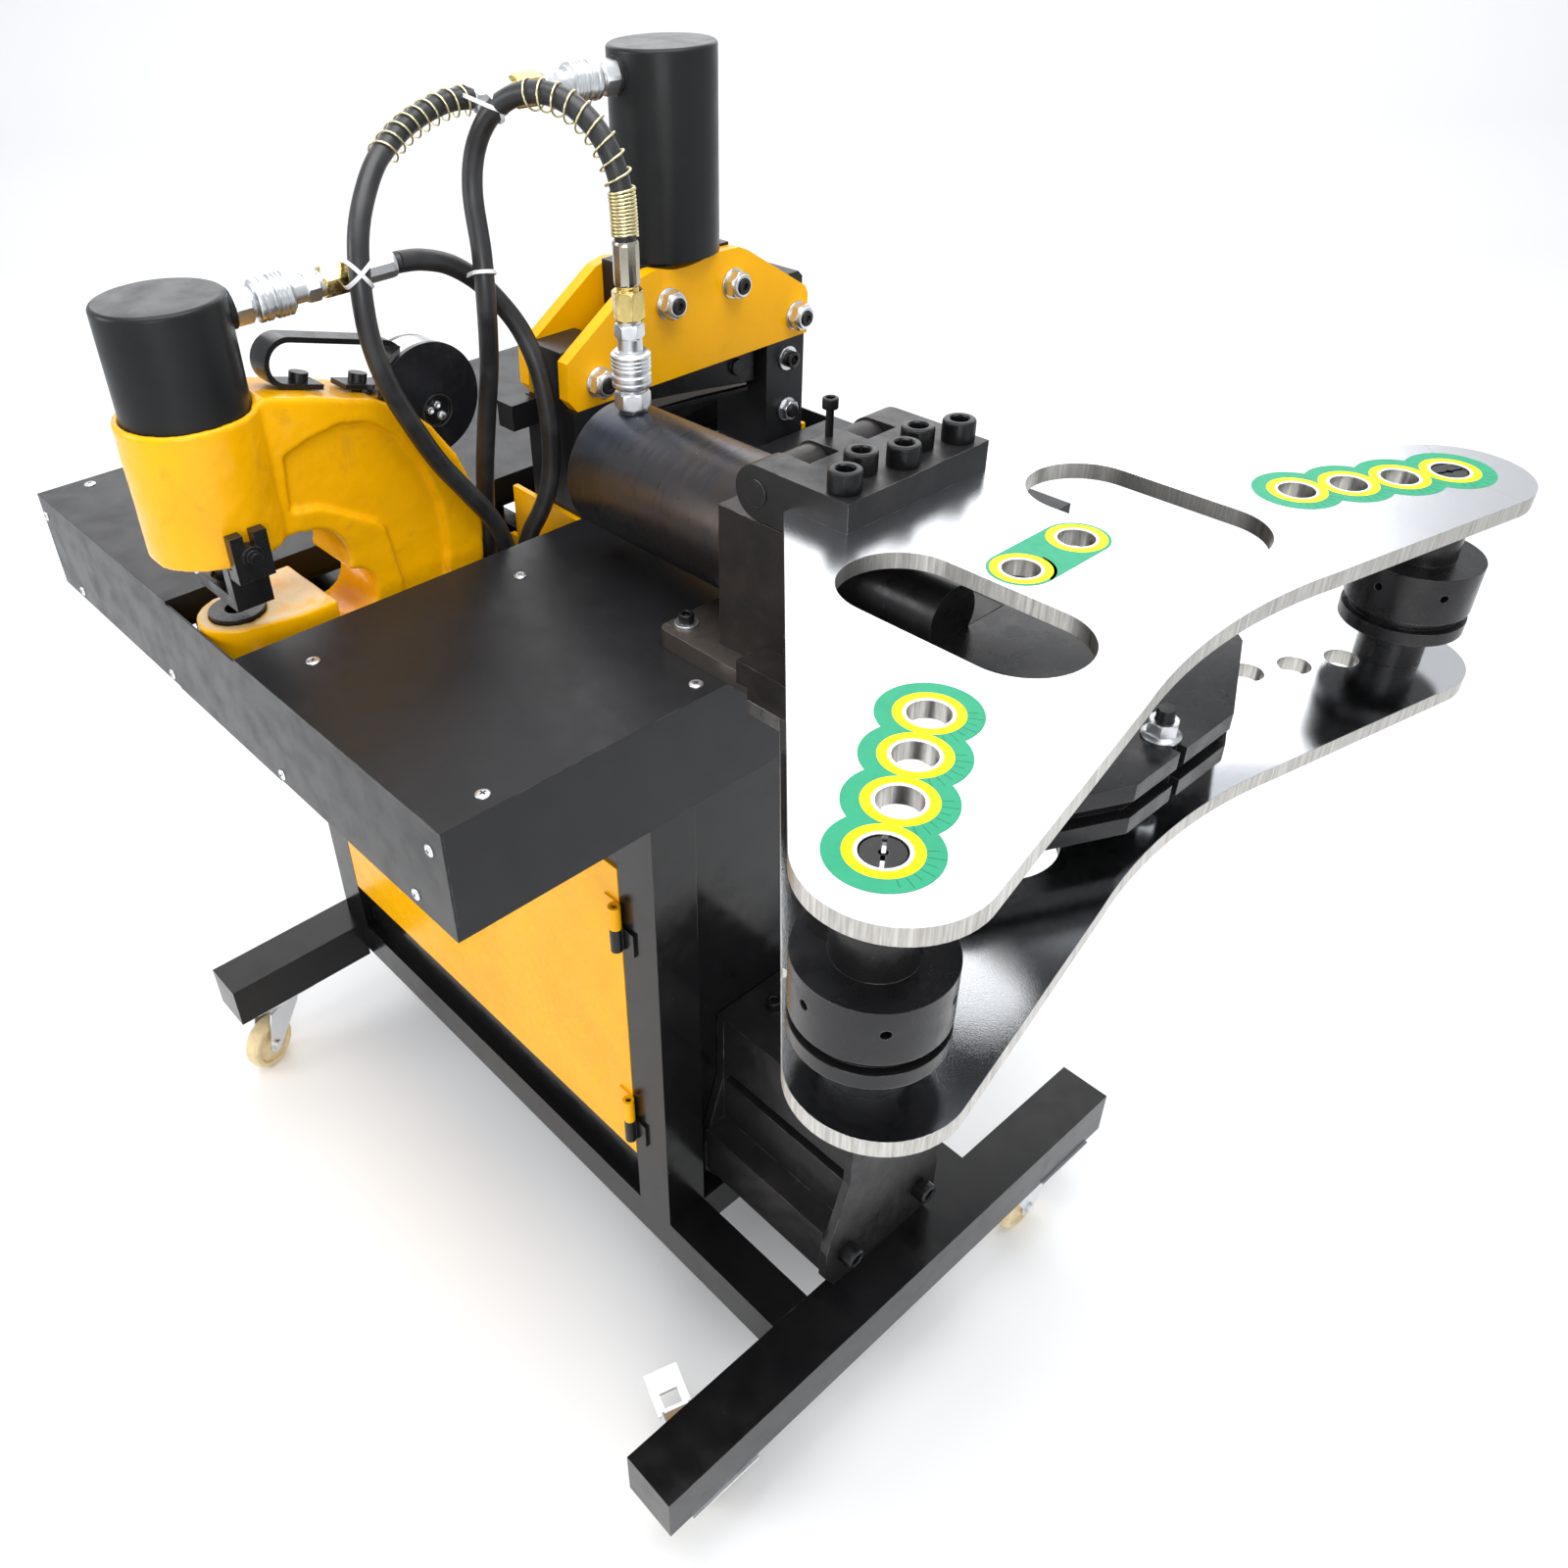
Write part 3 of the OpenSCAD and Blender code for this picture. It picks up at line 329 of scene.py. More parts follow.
def canister():
    """Gloss black end disc in front of a bare aluminium barrel that turns near-black from 26 mm behind the
    front.
    """
    s = Shade("canister")
    inv = NODES["oil_canister"].matrix_world.inverted()
    front = (inv @ Vector((-0.1709, -0.12, 1.0))).x
    x = s.add("ShaderNodeSeparateXYZ")
    s.link(s.co, x.inputs[0])
    barrel = s.ramp(x.outputs[0], front - 0.0002, front, 1.0, 0.0)
    # the barrel colour turns near-black from 26 mm behind the front
    rim = s.ramp(x.outputs[0], front - 0.0262, front - 0.0258)
    turned = s.ramp(s.noise(90, 6, 0.7, co=s.scaled(0.2, 1, 1)), 0.4, 0.8)
    bare = s.mix(turned, (0.55, 0.56, 0.57, 1), (0.36, 0.36, 0.36, 1))
    bare = s.mix(rim, (0.02, 0.02, 0.02, 1), bare)
    black = s.mix(s.ramp(s.noise(30, 5), 0.4, 0.8), (0.008, 0.008, 0.009, 1), (0.016, 0.016, 0.017, 1))
    c = s.mix(barrel, black, bare)
    r = s.ramp(s.noise(120, 5), 0.3, 0.8, 0.16, 0.3)
    return s.surface(c, r, s.math("MULTIPLY", barrel, 0.9), [(s.noise(600, 3), 0.00001)], 0.001, 0.2)


M["canister"] = canister()
M["blued"] = blued()
M["rubber"] = rubber()
M["wheel"] = nylon("cream_nylon", (0.76, 0.62, 0.36, 1), 0.6)
M["tie"] = nylon("white_nylon", (0.78, 0.78, 0.80, 1), 0.1)
M["green"] = ink("print_green", srgb(48, 146, 110))
M["lemon"] = ink("print_yellow", srgb(240, 226, 6))
M["white"] = ink("print_white", srgb(240, 242, 240))
M["tick"] = ink("print_mark", srgb(24, 112, 74))

KEEP = {
    "gloss": "foot_tubes base_frame cabinet_frame cabinet_panels door_hinge_lower",
    "powder": "table_top_sheets table_side_aprons table_frame tool_shelf cutter_columns",
    "yellow": "door_panel slot_gussets cutter_plates",
    "zinc": "caster_plates fork_front_near fork_front_far fork_rear_near fork_rear_far pedal_near pedal_far",
    "wheel": "wheel_front_near wheel_front_far wheel_rear_near wheel_rear_far",
    "head": "head_block foot_plate",
    "blued": "bender_cylinder",
    "ground": "mount_bar",
    "oxide": "hinge_leaf lower_bracket hinge_pin",
    "oxide_soft": "roller_near roller_far roller_pins former stripper_fork punch_die carry_strap",
    "top": "top_wing",
    "bottom": "bottom_wing",
    "screw": "ram punch_ram cutter_crosshead",
    "pump": "pump_unit",
    "canister": "oil_canister",
}
for key, names in KEEP.items():
    for n in names.split():
        mesh = NODES[n].data
        mesh.materials.clear()
        mesh.materials.append(M[key])


# ------------------------------------------------------------------ mesh helpers
def new_object(name, bm, mats, smooth=35):
    """Object from a bmesh, smooth up to an angle in degrees, or flat at 0."""
    mesh = bpy.data.meshes.new(name)
    bmesh.ops.recalc_face_normals(bm, faces=bm.faces)
    bm.to_mesh(mesh)
    bm.free()
    o = bpy.data.objects.new(name, mesh)
    scene.collection.objects.link(o)
    for m in mats:
        mesh.materials.append(m)
    if smooth:
        for p in mesh.polygons:
            p.use_smooth = True
        o.select_set(True)
        bpy.context.view_layer.objects.active = o
        bpy.ops.object.shade_smooth_by_angle(angle=math.radians(smooth))
        o.select_set(False)
    return o


def frame_z(origin, axis, spin=0.0):
    """Matrix that puts local +Z along axis at origin (millimetres)."""
    q = Vector((0, 0, 1)).rotation_difference(Vector(axis).normalized())
    return Matrix.Translation(Vector(origin) * MM) @ q.to_matrix().to_4x4() @ Matrix.Rotation(spin, 4, "Z")


def ring_of(bm, at, z, steps, reach):
    """Ring of vertices at height z; reach is a radius or a function of the angle and the step."""
    out = []
    for k in range(steps):
        a = 2 * math.pi * k / steps
        r = reach(a, k) if callable(reach) else reach
        out.append(bm.verts.new(at @ (Vector((r * math.cos(a), r * math.sin(a), z)) * MM)))
    return out


def skin(bm, rings, mat=0, closed=False):
    """Quads between neighbouring rings, and between the last and the first when closed."""
    pairs = list(zip(rings, rings[1:] + rings[:1] if closed else rings[1:]))
    for low, high in pairs:
        for k in range(len(low)):
            j = (k + 1) % len(low)
            bm.faces.new((low[k], low[j], high[j], high[k])).material_index = mat


def cap(bm, rings, mat=0):
    """One face over each ring."""
    for ring in rings:
        bm.faces.new(ring).material_index = mat


def lathe(bm, profile, at, steps=48, mat=0, deep=0.0, band=None):
    """Turns (radius, height) points round local Z. deep cuts fine grooves between the heights in band."""
    rings = []
    for r, z in profile:
        cut = deep if band and band[0] <= z <= band[1] else 0
        rings.append(ring_of(bm, at, z, steps, lambda a, k: r - (cut if k % 2 else 0)))
    skin(bm, rings, mat)
    cap(bm, (rings[0], rings[-1]), mat)


def hex_reach(a, across):
    """Radius of a hexagon with that width across flats at angle a."""
    b = (a + math.pi / 6) % (math.pi / 3) - math.pi / 6
    return across / 2 / math.cos(b)


def hexagon(bm, z0, z1, across, at, mat=0, chamfer=(1, 1), bore=0.0, steps=48):
    """Hexagon bar with turned chamfers, as on a nut or bolt head, and an optional bore."""
    flat = across / 2
    corner = across / math.sqrt(3)
    c = (corner - flat) * 0.9
    levels = []
    if chamfer[0]:
        levels += [(z0, 0.02), (z0 + c * 0.55, 0.7)]
    levels += [(z0 + (c if chamfer[0] else 0), 1.0), (z1 - (c if chamfer[1] else 0), 1.0)]
    if chamfer[1]:
        levels += [(z1 - c * 0.55, 0.7), (z1, 0.02)]
    rings = []
    for z, cut in levels:
        limit = flat + (corner - flat) * cut
        rings.append(ring_of(bm, at, z, steps, lambda a, k: min(hex_reach(a, across), limit)))
    if bore:
        rings = [ring_of(bm, at, z0, steps, bore)] + rings + [ring_of(bm, at, z1, steps, bore)]
    skin(bm, rings, mat, closed=bool(bore))
    if not bore:
        cap(bm, (rings[0], rings[-1]), mat)


def thread(bm, r, z0, z1, at, pitch=2.0, mat=0, steps=32):
    """Screw thread drawn as a helical ridge, closed at both ends."""
    profile_n = 2 * max(2, int((z1 - z0) / pitch))
    rows = []
    for i in range(profile_n + 1):
        row = []
        for k in range(steps):
            a = 2 * math.pi * k / steps
            z = z0 + (i / 2) * pitch + (k / steps) * pitch * 0.999
            z = min(max(z, z0), z1)
            ridge = r if i % 2 else r - pitch * 0.45
            row.append(bm.verts.new(at @ (Vector((ridge * math.cos(a), ridge * math.sin(a), z)) * MM)))
        rows.append(row)
    for i in range(profile_n):
        for k in range(steps - 1):
            quad = (rows[i][k], rows[i][k + 1], rows[i + 1][k + 1], rows[i + 1][k])
            bm.faces.new(quad).material_index = mat
        if i + 3 <= profile_n:
            seam = (rows[i][-1], rows[i + 2][0], rows[i + 3][0], rows[i + 1][-1])
            bm.faces.new(seam).material_index = mat


def cap_screw(bm, x, y, z, head_r, head_h, axis=(0, 0, 1), shank_r=0.0, shank=0.0, mat=0, steps=72, spin=0.0):
    """Socket head cap screw: knurled rim, rounded crown and a hexagon socket with its floor."""
    at = frame_z((x, y, z), axis, spin)
    if shank_r:
        lathe(bm, [(shank_r, -shank), (shank_r, 0.0)], at, 32, mat)
    socket = head_r * 0.60
    rings = []
    for share, h in ((0.97, 0), (1, 0.06), (1, 0.80), (0.985, 0.90), (0.93, 0.965), (0.84, 1)):
        knurl = head_r * 0.022 if 0.05 < h < 0.85 else 0
        rings.append(ring_of(bm, at, h * head_h, steps, lambda a, k: head_r * share - knurl * (k % 2)))
    rings.append(ring_of(bm, at, head_h, steps, socket * 1.04))
    for h in (0.93, 0.48):
        rings.append(ring_of(bm, at, h * head_h, steps, lambda a, k: hex_reach(a, socket * math.sqrt(3))))
    skin(bm, rings, mat)
    cap(bm, (rings[-1], rings[0]), mat)


def washer(bm, at, r, bore, z0, z1, mat=0, steps=48):
    """Flat ring with slightly broken outer edges."""
    section = ((bore, z0), (r - 0.3, z0), (r, z0 + 0.3), (r, z1 - 0.3), (r - 0.3, z1), (bore, z1))
    skin(bm, [ring_of(bm, at, z, steps, rr) for rr, z in section], mat, closed=True)


def sweep(name, points, radius, mat, res=2):
    """Round bar along a list of points."""
    curve = bpy.data.curves.new(name, "CURVE")
    curve.dimensions = "3D"
    curve.bevel_depth = radius * MM
    curve.bevel_resolution = res
    curve.use_fill_caps = True
    sp = curve.splines.new("POLY")
    sp.points.add(len(points) - 1)
    for p, q in zip(sp.points, points):
        p.co = (*[c * MM for c in q], 1)
    sp.use_smooth = True
    curve.materials.append(mat)
    o = bpy.data.objects.new(name, curve)
    scene.collection.objects.link(o)
    return o


def body(piece, name="base", slot=None, *nodes):
    """Says which body a piece rides and the solids it stands for, which it hides; slot is not used."""
    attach(piece, name)
    if nodes:
        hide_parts(*nodes)
    return piece


# ------------------------------------------------------------------ hoses
HOSE = 17.5
route_b = [(-33, 0, 1139), (-36, 0, 1179), (-48, -4, 1209), (-69.6, -10.9, 1230), (-97.2, -19.8, 1239.5),
           (-126, -29.1, 1235.9), (-150.7, -37.5, 1219.8), (-166.8, -44.1, 1193.7), (-170.5, -49, 1160.6),
           (-158.4, -54.6, 1115.4), (-155.1, -57.9, 1070.8), (-170.9, -51.8, 1015.8), (-183, -53.2, 962.4),
           (-190.5, -56.9, 910.8), (-197, -58, 860), (-205, -56, 805), (-216, -51, 740), (-227, -45, 670),
           (-230, -42.5, 613)]
route_p = [(-166, -131.5, 1122.6), (-168.5, -108.2, 1119.3), (-176.1, -77.3, 1107.5),
           (-183.5, -47.2, 1086.7), (-181.7, -26.9, 1063.5), (-172.3, -12.8, 1036.2), (-160.9, -6, 1002.2),
           (-154, -4.2, 958.5), (-153.8, -5.5, 914.6), (-156.5, -11, 884), (-161.5, -18, 863),
           (-168.5, -28, 841), (-172.5, -35, 815), (-170.5, -37.5, 780), (-161, -35.5, 732),
           (-152, -32.5, 680), (-150, -32, 640), (-150, -32, 613)]
route_c = [(-195.7, -24.4, 1226), (-198, -46, 1226), (-195, -76, 1220), (-187, -106, 1210),
           (-174.9, -136, 1192.6), (-158.9, -163.8, 1160.3), (-147.2, -177.4, 1123.4),
           (-143.2, -179.5, 1078.8), (-142.8, -170.7, 1037.6), (-144.4, -152.8, 996.5), (-146, -131, 955),
           (-146.5, -106, 918), (-149, -82, 882), (-154, -66, 842), (-163, -61, 795), (-177, -61, 735),
           (-188, -62, 670), (-190, -62, 613)]


def smooth_route(points, per=8):
    """Catmull-Rom curve through the route's points."""
    pts = [Vector(p) for p in points]
    out = []
    for i in range(len(pts) - 1):
        a, b = pts[max(i - 1, 0)], pts[i]
        c, d = pts[i + 1], pts[min(i + 2, len(pts) - 1)]
        for k in range(per):
            t = k / per
            out.append(0.5 * (2 * b + (c - a) * t + (2 * a - 5 * b + 4 * c - d) * t * t
                              + (3 * b - a - 3 * c + d) * t ** 3))
    return out + [pts[-1]]


def frames(points):
    """Position, tangent and a turning-free side vector at each point."""
    n = len(points)
    tan = [(points[min(i + 1, n - 1)] - points[max(i - 1, 0)]).normalized() for i in range(n)]
    side = tan[0].orthogonal().normalized()
    out = []
    for i in range(n):
        side = (side - tan[i] * side.dot(tan[i])).normalized()
        out.append((points[i], tan[i], side.copy()))
    return out


def along(points, s0, s1, step):
    """Frames every step millimetres between two arc lengths."""
    fr = frames(points)
    dist = [0.0]
    for a, b in zip(points, points[1:]):
        dist.append(dist[-1] + (b - a).length)
    out = []
    s = s0
    i = 0
    while s <= s1 + 1e-6:
        while i < len(dist) - 2 and dist[i + 1] < s:
            i += 1
        t = (s - dist[i]) / max(dist[i + 1] - dist[i], 1e-9)
        p = fr[i][0].lerp(fr[i + 1][0], t)
        g = fr[i][1].lerp(fr[i + 1][1], t).normalized()
        u = fr[i][2].lerp(fr[i + 1][2], t)
        u = (u - g * u.dot(g)).normalized()
        out.append((s, p, g, u))
        s += step
    return out


def coil(points, s0, s1, turns, radius, sag=Vector((0, 0, 0))):
    """Helix round a route between two arc lengths; sag shifts it off centre."""
    n = turns * 20
    out = []
    for i, (s, p, g, u) in enumerate(along(points, s0, s1, (s1 - s0) / n)):
        a = 2 * math.pi * i / 20
        v = g.cross(u)
        out.append(p + sag + (u * math.cos(a) + v * math.sin(a)) * radius)
    return out


def length_of(points):
    """Length of a route in metres."""
    return sum((b - a).length for a, b in zip(points, points[1:])) * MM


def coupler_at():
    """Placements of the three quick couplers, the same as in the solid model."""
    aside = math.radians(8)
    up = math.radians(3.5)
    punch_axis = (math.sin(aside) * math.cos(up), math.cos(aside) * math.cos(up), math.sin(up))
    return [((-33, 0, 1000), (0, 0, 1)),
            ((-185.7, -271.5, 1114), punch_axis),
            ((-176.4, 112.9, 1226), (-math.sin(aside), -math.cos(aside), 0))]


lines = {k: smooth_route(r) for k, r in (("b", route_b), ("p", route_p), ("c", route_c))}
for key, node in (("b", "hose_bender"), ("p", "hose_punch"), ("c", "hose_cutter")):
    o = sweep(node.capitalize(), lines[key], HOSE / 2, M["rubber"], res=7)
    body(o, "base", "hose_rubber", node)

guard = sweep("Spring_tight", coil(lines["b"], 2, 36, 13, HOSE / 2 + 1.5), 1.25, M["zinc_yellow"])
body(guard, "base", "brass", "spring_guards")
loose_r = HOSE / 2 + 2.7
sag = Vector((0, 0, -1.7))
loose_b = sweep("Spring_loose_bender", coil(lines["b"], 37, 152, 9, loose_r, sag), 0.9, M["zinc_yellow"])
body(loose_b, "base", "brass")
loose_c = sweep("Spring_loose_cutter", coil(lines["c"], 2, 108, 9, loose_r, sag), 0.9, M["zinc_yellow"])
body(loose_c, "base", "brass")


def tie_loop(name, centre, deep, band, half_deep, half_band):
    """Nylon tie: a flat band in the plane of deep and band, its locking head and cut tail at the back."""
    u = Vector(deep).normalized()
    v = Vector(band)
    v = (v - u * v.dot(u)).normalized()
    axis = u.cross(v)
    centre = Vector(centre)
    bm = bmesh.new()
    n, w, th = 72, 1.7, 1.0
    loops = []
    straight = max(half_deep - half_band, 0)
    for i in range(n):
        a = 2 * math.pi * i / n
        rad = u * math.cos(a) + v * math.sin(a)
        base = centre + u * (straight if math.cos(a) > 0 else -straight) + rad * half_band
        lift = rad * th
        ring = [base - axis * w, base + axis * w, base + axis * w * 0.9 + lift, base - axis * w * 0.9 + lift]
        loops.append([bm.verts.new(p * MM) for p in ring])
    skin(bm, loops, closed=True)
    head = centre - u * (straight + half_band + 1.6)
    turn3 = Matrix((axis, v, u)).transposed()
    for size, at in (((2.6, 3.2, 2.2), head), ((1.4, 0.6, 6.0), head - u * 5 + v * 1.5)):
        res = bmesh.ops.create_cube(bm, size=2)
        for vert in res["verts"]:
            c = Vector((vert.co.x * size[0], vert.co.y * size[1], vert.co.z * size[2]))
            vert.co = (at + turn3 @ c) * MM
        bmesh.ops.bevel(bm, geom=list({e for v_ in res["verts"] for e in v_.link_edges}), offset=0.0005,
                        segments=2, affect="EDGES")
    return new_object(name, bm, [M["tie"]])


def near(key, s):
    """Place and direction on a hose at an arc length."""
    return along(lines[key], s, s, 1)[0][1:3]


def closest(key, point, lo=0.0, hi=900.0):
    """Place on a hose that is nearest to a point."""
    end = min(hi, length_of(lines[key]) / MM - 2)
    best = min(along(lines[key], lo, end, 2), key=lambda q: (q[1] - point).length)
    return best[1], best[2]


def tie_pair(name, front, back, leans, room=0.0):
    """Ties round two crossing lines given as (place, direction); each lean turns the band from square."""
    (pa, ga), (pb, _) = front, back
    d = (pa - pb).normalized()
    half = (pa - pb).length / 2 + HOSE / 2 + 0.7
    out = []
    for j, lean in enumerate(leans):
        band = Quaternion(d, lean) @ (ga - d * ga.dot(d)).normalized()
        reach = HOSE / 2 / max(0.72, abs(math.sin(lean))) + 0.7 + room
        out.append(tie_loop(f"{name}_{j}", (pa + pb) / 2, d, band, max(half, reach), reach))
    return out


eye = Vector((811, -683, 1429))
ferrule = Vector(coupler_at()[1][0]) + Vector(coupler_at()[1][1]) * 104
p_axis = Vector(coupler_at()[1][1])
cutter_here = closest("c", ferrule + (eye - ferrule).normalized() * 22)
arch = near("b", 188)
c_top = closest("c", arch[0] - (eye - arch[0]).normalized() * 30, 0, 200)
b_low = near("b", 325)
p_low = closest("p", b_low[0] - (eye - b_low[0]).normalized() * 22)
ties = tie_pair("Tie_top", arch, c_top, (0.95, 1.75))
ties += tie_pair("Tie_left", cutter_here, (ferrule, p_axis), (0.8, -0.8), 1.0)
ties += tie_pair("Tie_ring", b_low, p_low, (1.5,), 0.4)
for i, t in enumerate(ties):
    body(t, "base", "white_nylon", *(["cable_ties"] if i == 0 else []))


# ------------------------------------------------------------------ couplers and hose ends
bm = bmesh.new()
for origin, axis in coupler_at():
    at = frame_z(origin, axis, 0.35)
    hexagon(bm, 0, 15, 27, at, 0, (1, 1))
    lathe(bm, [(11.5, 14.5), (11.5, 17), (14.6, 18), (16.2, 19), (16.8, 20.2), (16.8, 23.2), (16.2, 24),
               (16.2, 25), (16.9, 25.8), (16.9, 29.2), (16.2, 30), (15.4, 30.6), (15.4, 32.6), (16.2, 33.4),
               (17, 34.2), (17, 36), (16.1, 36.8), (17, 37.6), (17, 39.4), (16.1, 40.2), (17, 41), (17, 42.8),
               (16.1, 43.6), (17, 44.4), (17, 46.4), (16.0, 47.6), (13.8, 48.4), (13.6, 49.6), (10.6, 50),
               (10.6, 60.5)], at, 64, 0, 0.35, (34.5, 46))
    hexagon(bm, 60, 72, 22, at, 0, (1, 1))
    lathe(bm, [(9.5, 71.5), (10.2, 72.4), (10.2, 75)], at, 40)
couplers = new_object("Quick_couplers", bm, [M["zinc"]])
body(couplers, "base", "zinc", "quick_couplers")

bm = bmesh.new()
for i, (origin, axis) in enumerate(coupler_at()):
    at = frame_z(origin, axis, 0.1)
    hexagon(bm, 75, 99, 24, at, 0, (1, 1))
    lathe(bm, [(9.2, 98.5), (9.2, 101.5), (9.8, 102)], at, 40, 0)
    ferrule_mat = 1 if i == 0 else 2
    lathe(bm, [(9.4, 101.6), (10.4, 102.4), (10.8, 103.6), (11, 106), (11, 134), (10.8, 136.6), (10.1, 138)],
          at, 10, ferrule_mat)
    lathe(bm, [(HOSE / 2 - 0.1, 136), (HOSE / 2 - 0.1, 143)], at, 32, 3)
adapters = new_object("Hose_ends", bm, [M["brass"], M["ferrule"], M["zinc"], M["rubber"]])
body(adapters, "base", "brass", "hose_adapters")


# ------------------------------------------------------------------ upright cylinders with rounded crowns
def drum(name, x, y, z0, z1, r, node, port):
    """Upright cylinder with a rounded crown and a boss at its port."""
    bm = bmesh.new()
    prof = [(r - 6, z0), (r, z0), (r, z1 - 4.0)]
    for k in range(1, 7):
        a = math.radians(15 * k)
        prof.append((r - 4 + 4 * math.cos(a), z1 - 4 + 4 * math.sin(a)))
    prof += [(r * 0.6, z1), (r * 0.2, z1 - 0.15)]
    lathe(bm, prof, frame_z((x, y, 0), (0, 0, 1)), 96)
    at = frame_z(*port)
    lathe(bm, [(16, -6), (16, 0.4), (15, 1.1), (13, 1.2)], at, 48)
    o = new_object(name, bm, [M["satin"]], 40)
    return body(o, "base", "dark_steel", node)


punch_port, cutter_port = coupler_at()[1], coupler_at()[2]
drum("Punch_drum", -193, -323, 950, 1132.7, 50.8, "punch_cylinder", punch_port)
drum("Cutter_drum", -169.5, 162, 1072, 1248.5, 49.5, "cutter_cylinder", cutter_port)


# ------------------------------------------------------------------ cast C-frame
def casting():
    """The cast frame with soft, slightly uneven edges: the solid remeshed, relaxed and pitted."""
    src = NODES["punch_frame"]
    o = bpy.data.objects.new("Punch_casting", src.data.copy())
    scene.collection.objects.link(o)
    o.data.materials.clear()
    o.data.materials.append(M["cast"])
    rm = o.modifiers.new("remesh", "REMESH")
    rm.mode = "VOXEL"
    rm.voxel_size = 0.0019
    rm.use_smooth_shade = True
    sm = o.modifiers.new("relax", "SMOOTH")
    sm.factor = 0.5
    sm.iterations = 5
    tex = bpy.data.textures.new("cast_skin", "CLOUDS")
    tex.noise_scale = 0.028
    tex.noise_depth = 2
    dp = o.modifiers.new("skin", "DISPLACE")
    dp.texture = tex
    dp.texture_coords = "LOCAL"
    dp.strength = 0.0011
    dp.mid_level = 0.5
    dg = bpy.context.evaluated_depsgraph_get()
    done = bpy.data.meshes.new_from_object(o.evaluated_get(dg), depsgraph=dg)
    o.modifiers.clear()
    o.data = done
    done.materials.clear()
    done.materials.append(M["cast"])
    return body(o, "base", "yellow_paint", "punch_frame")


casting()


# ------------------------------------------------------------------ screws and nuts
bm = bmesh.new()
for i in range(-2, 3):
    x = 264 if i % 2 == 0 else 251
    cap_screw(bm, x, i * 30, 1040.9, 12.2, 16, spin=0.3 * i, shank_r=8, shank=34)
cap_screw(bm, 193.5, 0, 1062, 6, 8, shank_r=3, shank=28)
body(new_object("Leaf_screws", bm, [M["screw"]], 30), "wing", "dark_steel", "leaf_screws")

bm = bmesh.new()
for s in (-1, 1):
    at = frame_z((113, 73 * s, 877), (0, 0, 1))
    washer(bm, at, 10, 4.1, 0.02, 2, 1)
    cap_screw(bm, 113, 73 * s, 879, 6.5, 8, shank_r=4, shank=19)
    cap_screw(bm, 317.9, 57 * s, 212, 12, 16, (1, 0, 0), 7.9, 30)
    cap_screw(bm, 262, 62 * s, 897, 12, 10, shank_r=8, shank=41)
cap_screw(bm, 159, -7, 412.1, 8, 10, shank_r=5, shank=12)
body(new_object("Frame_screws", bm, [M["screw"], M["zinc"]], 30), "base", "dark_steel", "black_screws")

bm = bmesh.new()
at = frame_z((492, 0, 0), (0, 0, 1), 0.42)
lathe(bm, [(5.2, 868), (6, 869), (6, 926)], at, 40, 1)
lathe(bm, [(12.9, 925.04), (13.1, 925.5), (13.1, 926.4), (12.2, 927.4), (9.6, 928.4), (9.0, 930.5)], at, 64)
hexagon(bm, 926.6, 937.6, 18.5, at, 0, (0, 1), 6.3)
lathe(bm, [(6.0, 928), (6.0, 945.2), (5.6, 946), (0.8, 946)], at, 40, 1)
hexagon(bm, 878, 886, 18.5, at, 0, (1, 0))
bolt = new_object("Former_bolt", bm, [M["zinc"], M["screw"]], 30)
body(bolt, "bender_ram", "zinc", "former_bolt")


def nyloc(bm, x, y, z, size=24):
    """Locking nut: washer, chamfered hexagon, nylon collar, and the screw's threaded end."""
    at = frame_z((x, y, z), (1, 0, 0), random.uniform(0, 1))
    washer(bm, at, 14.5, 8.2, 0.03, 2.2, 0)
    hexagon(bm, 2.2, 12.6, size, at, 0, (1, 1), 8.2)
    lathe(bm, [(10.9, 12.0), (10.9, 14.6), (10.5, 15.4), (9.6, 15.9), (8.0, 15.9), (7.6, 15.2)], at, 48, 0)
    lathe(bm, [(7.5, 8), (7.5, 17.2), (7.1, 17.8), (3.6, 17.9), (3.4, 15.4)], at, 32, 2)


bm = bmesh.new()
for y, z in ((40, 985), (128, 1037), (212, 1037), (301, 985)):
    nyloc(bm, -132, y, z)
    at = frame_z((-207, y, z), (-1, 0, 0), 0.4)
    hexagon(bm, 0.02, 10, 24, at, 1, (0, 1))
    lathe(bm, [(8, 0), (8, -75)], at, 32, 2)
for z in (943, 888):
    at = frame_z((-132, 290, z), (1, 0, 0), 0.2)
    washer(bm, at, 12.5, 7.5, 0.02, 2, 0)
cap_screw(bm, -130, 290, 943, 8.5, 9, (1, 0, 0), mat=2)
hexagon(bm, 2, 9, 19, frame_z((-132, 290, 888), (1, 0, 0), 0.7), 0, (0, 1), 7)
thread(bm, 6.9, 2, 12, frame_z((-132, 290, 888), (1, 0, 0)), 1.6, 2)
lathe(bm, [(6.3, 1), (6.3, 12.0)], frame_z((-132, 290, 888), (1, 0, 0)), 24, 2)
nuts = new_object("Cutter_nuts", bm, [M["zinc"], M["zinc_yellow"], M["screw"]], 30)
body(nuts, "base", "zinc", "cutter_fasteners")


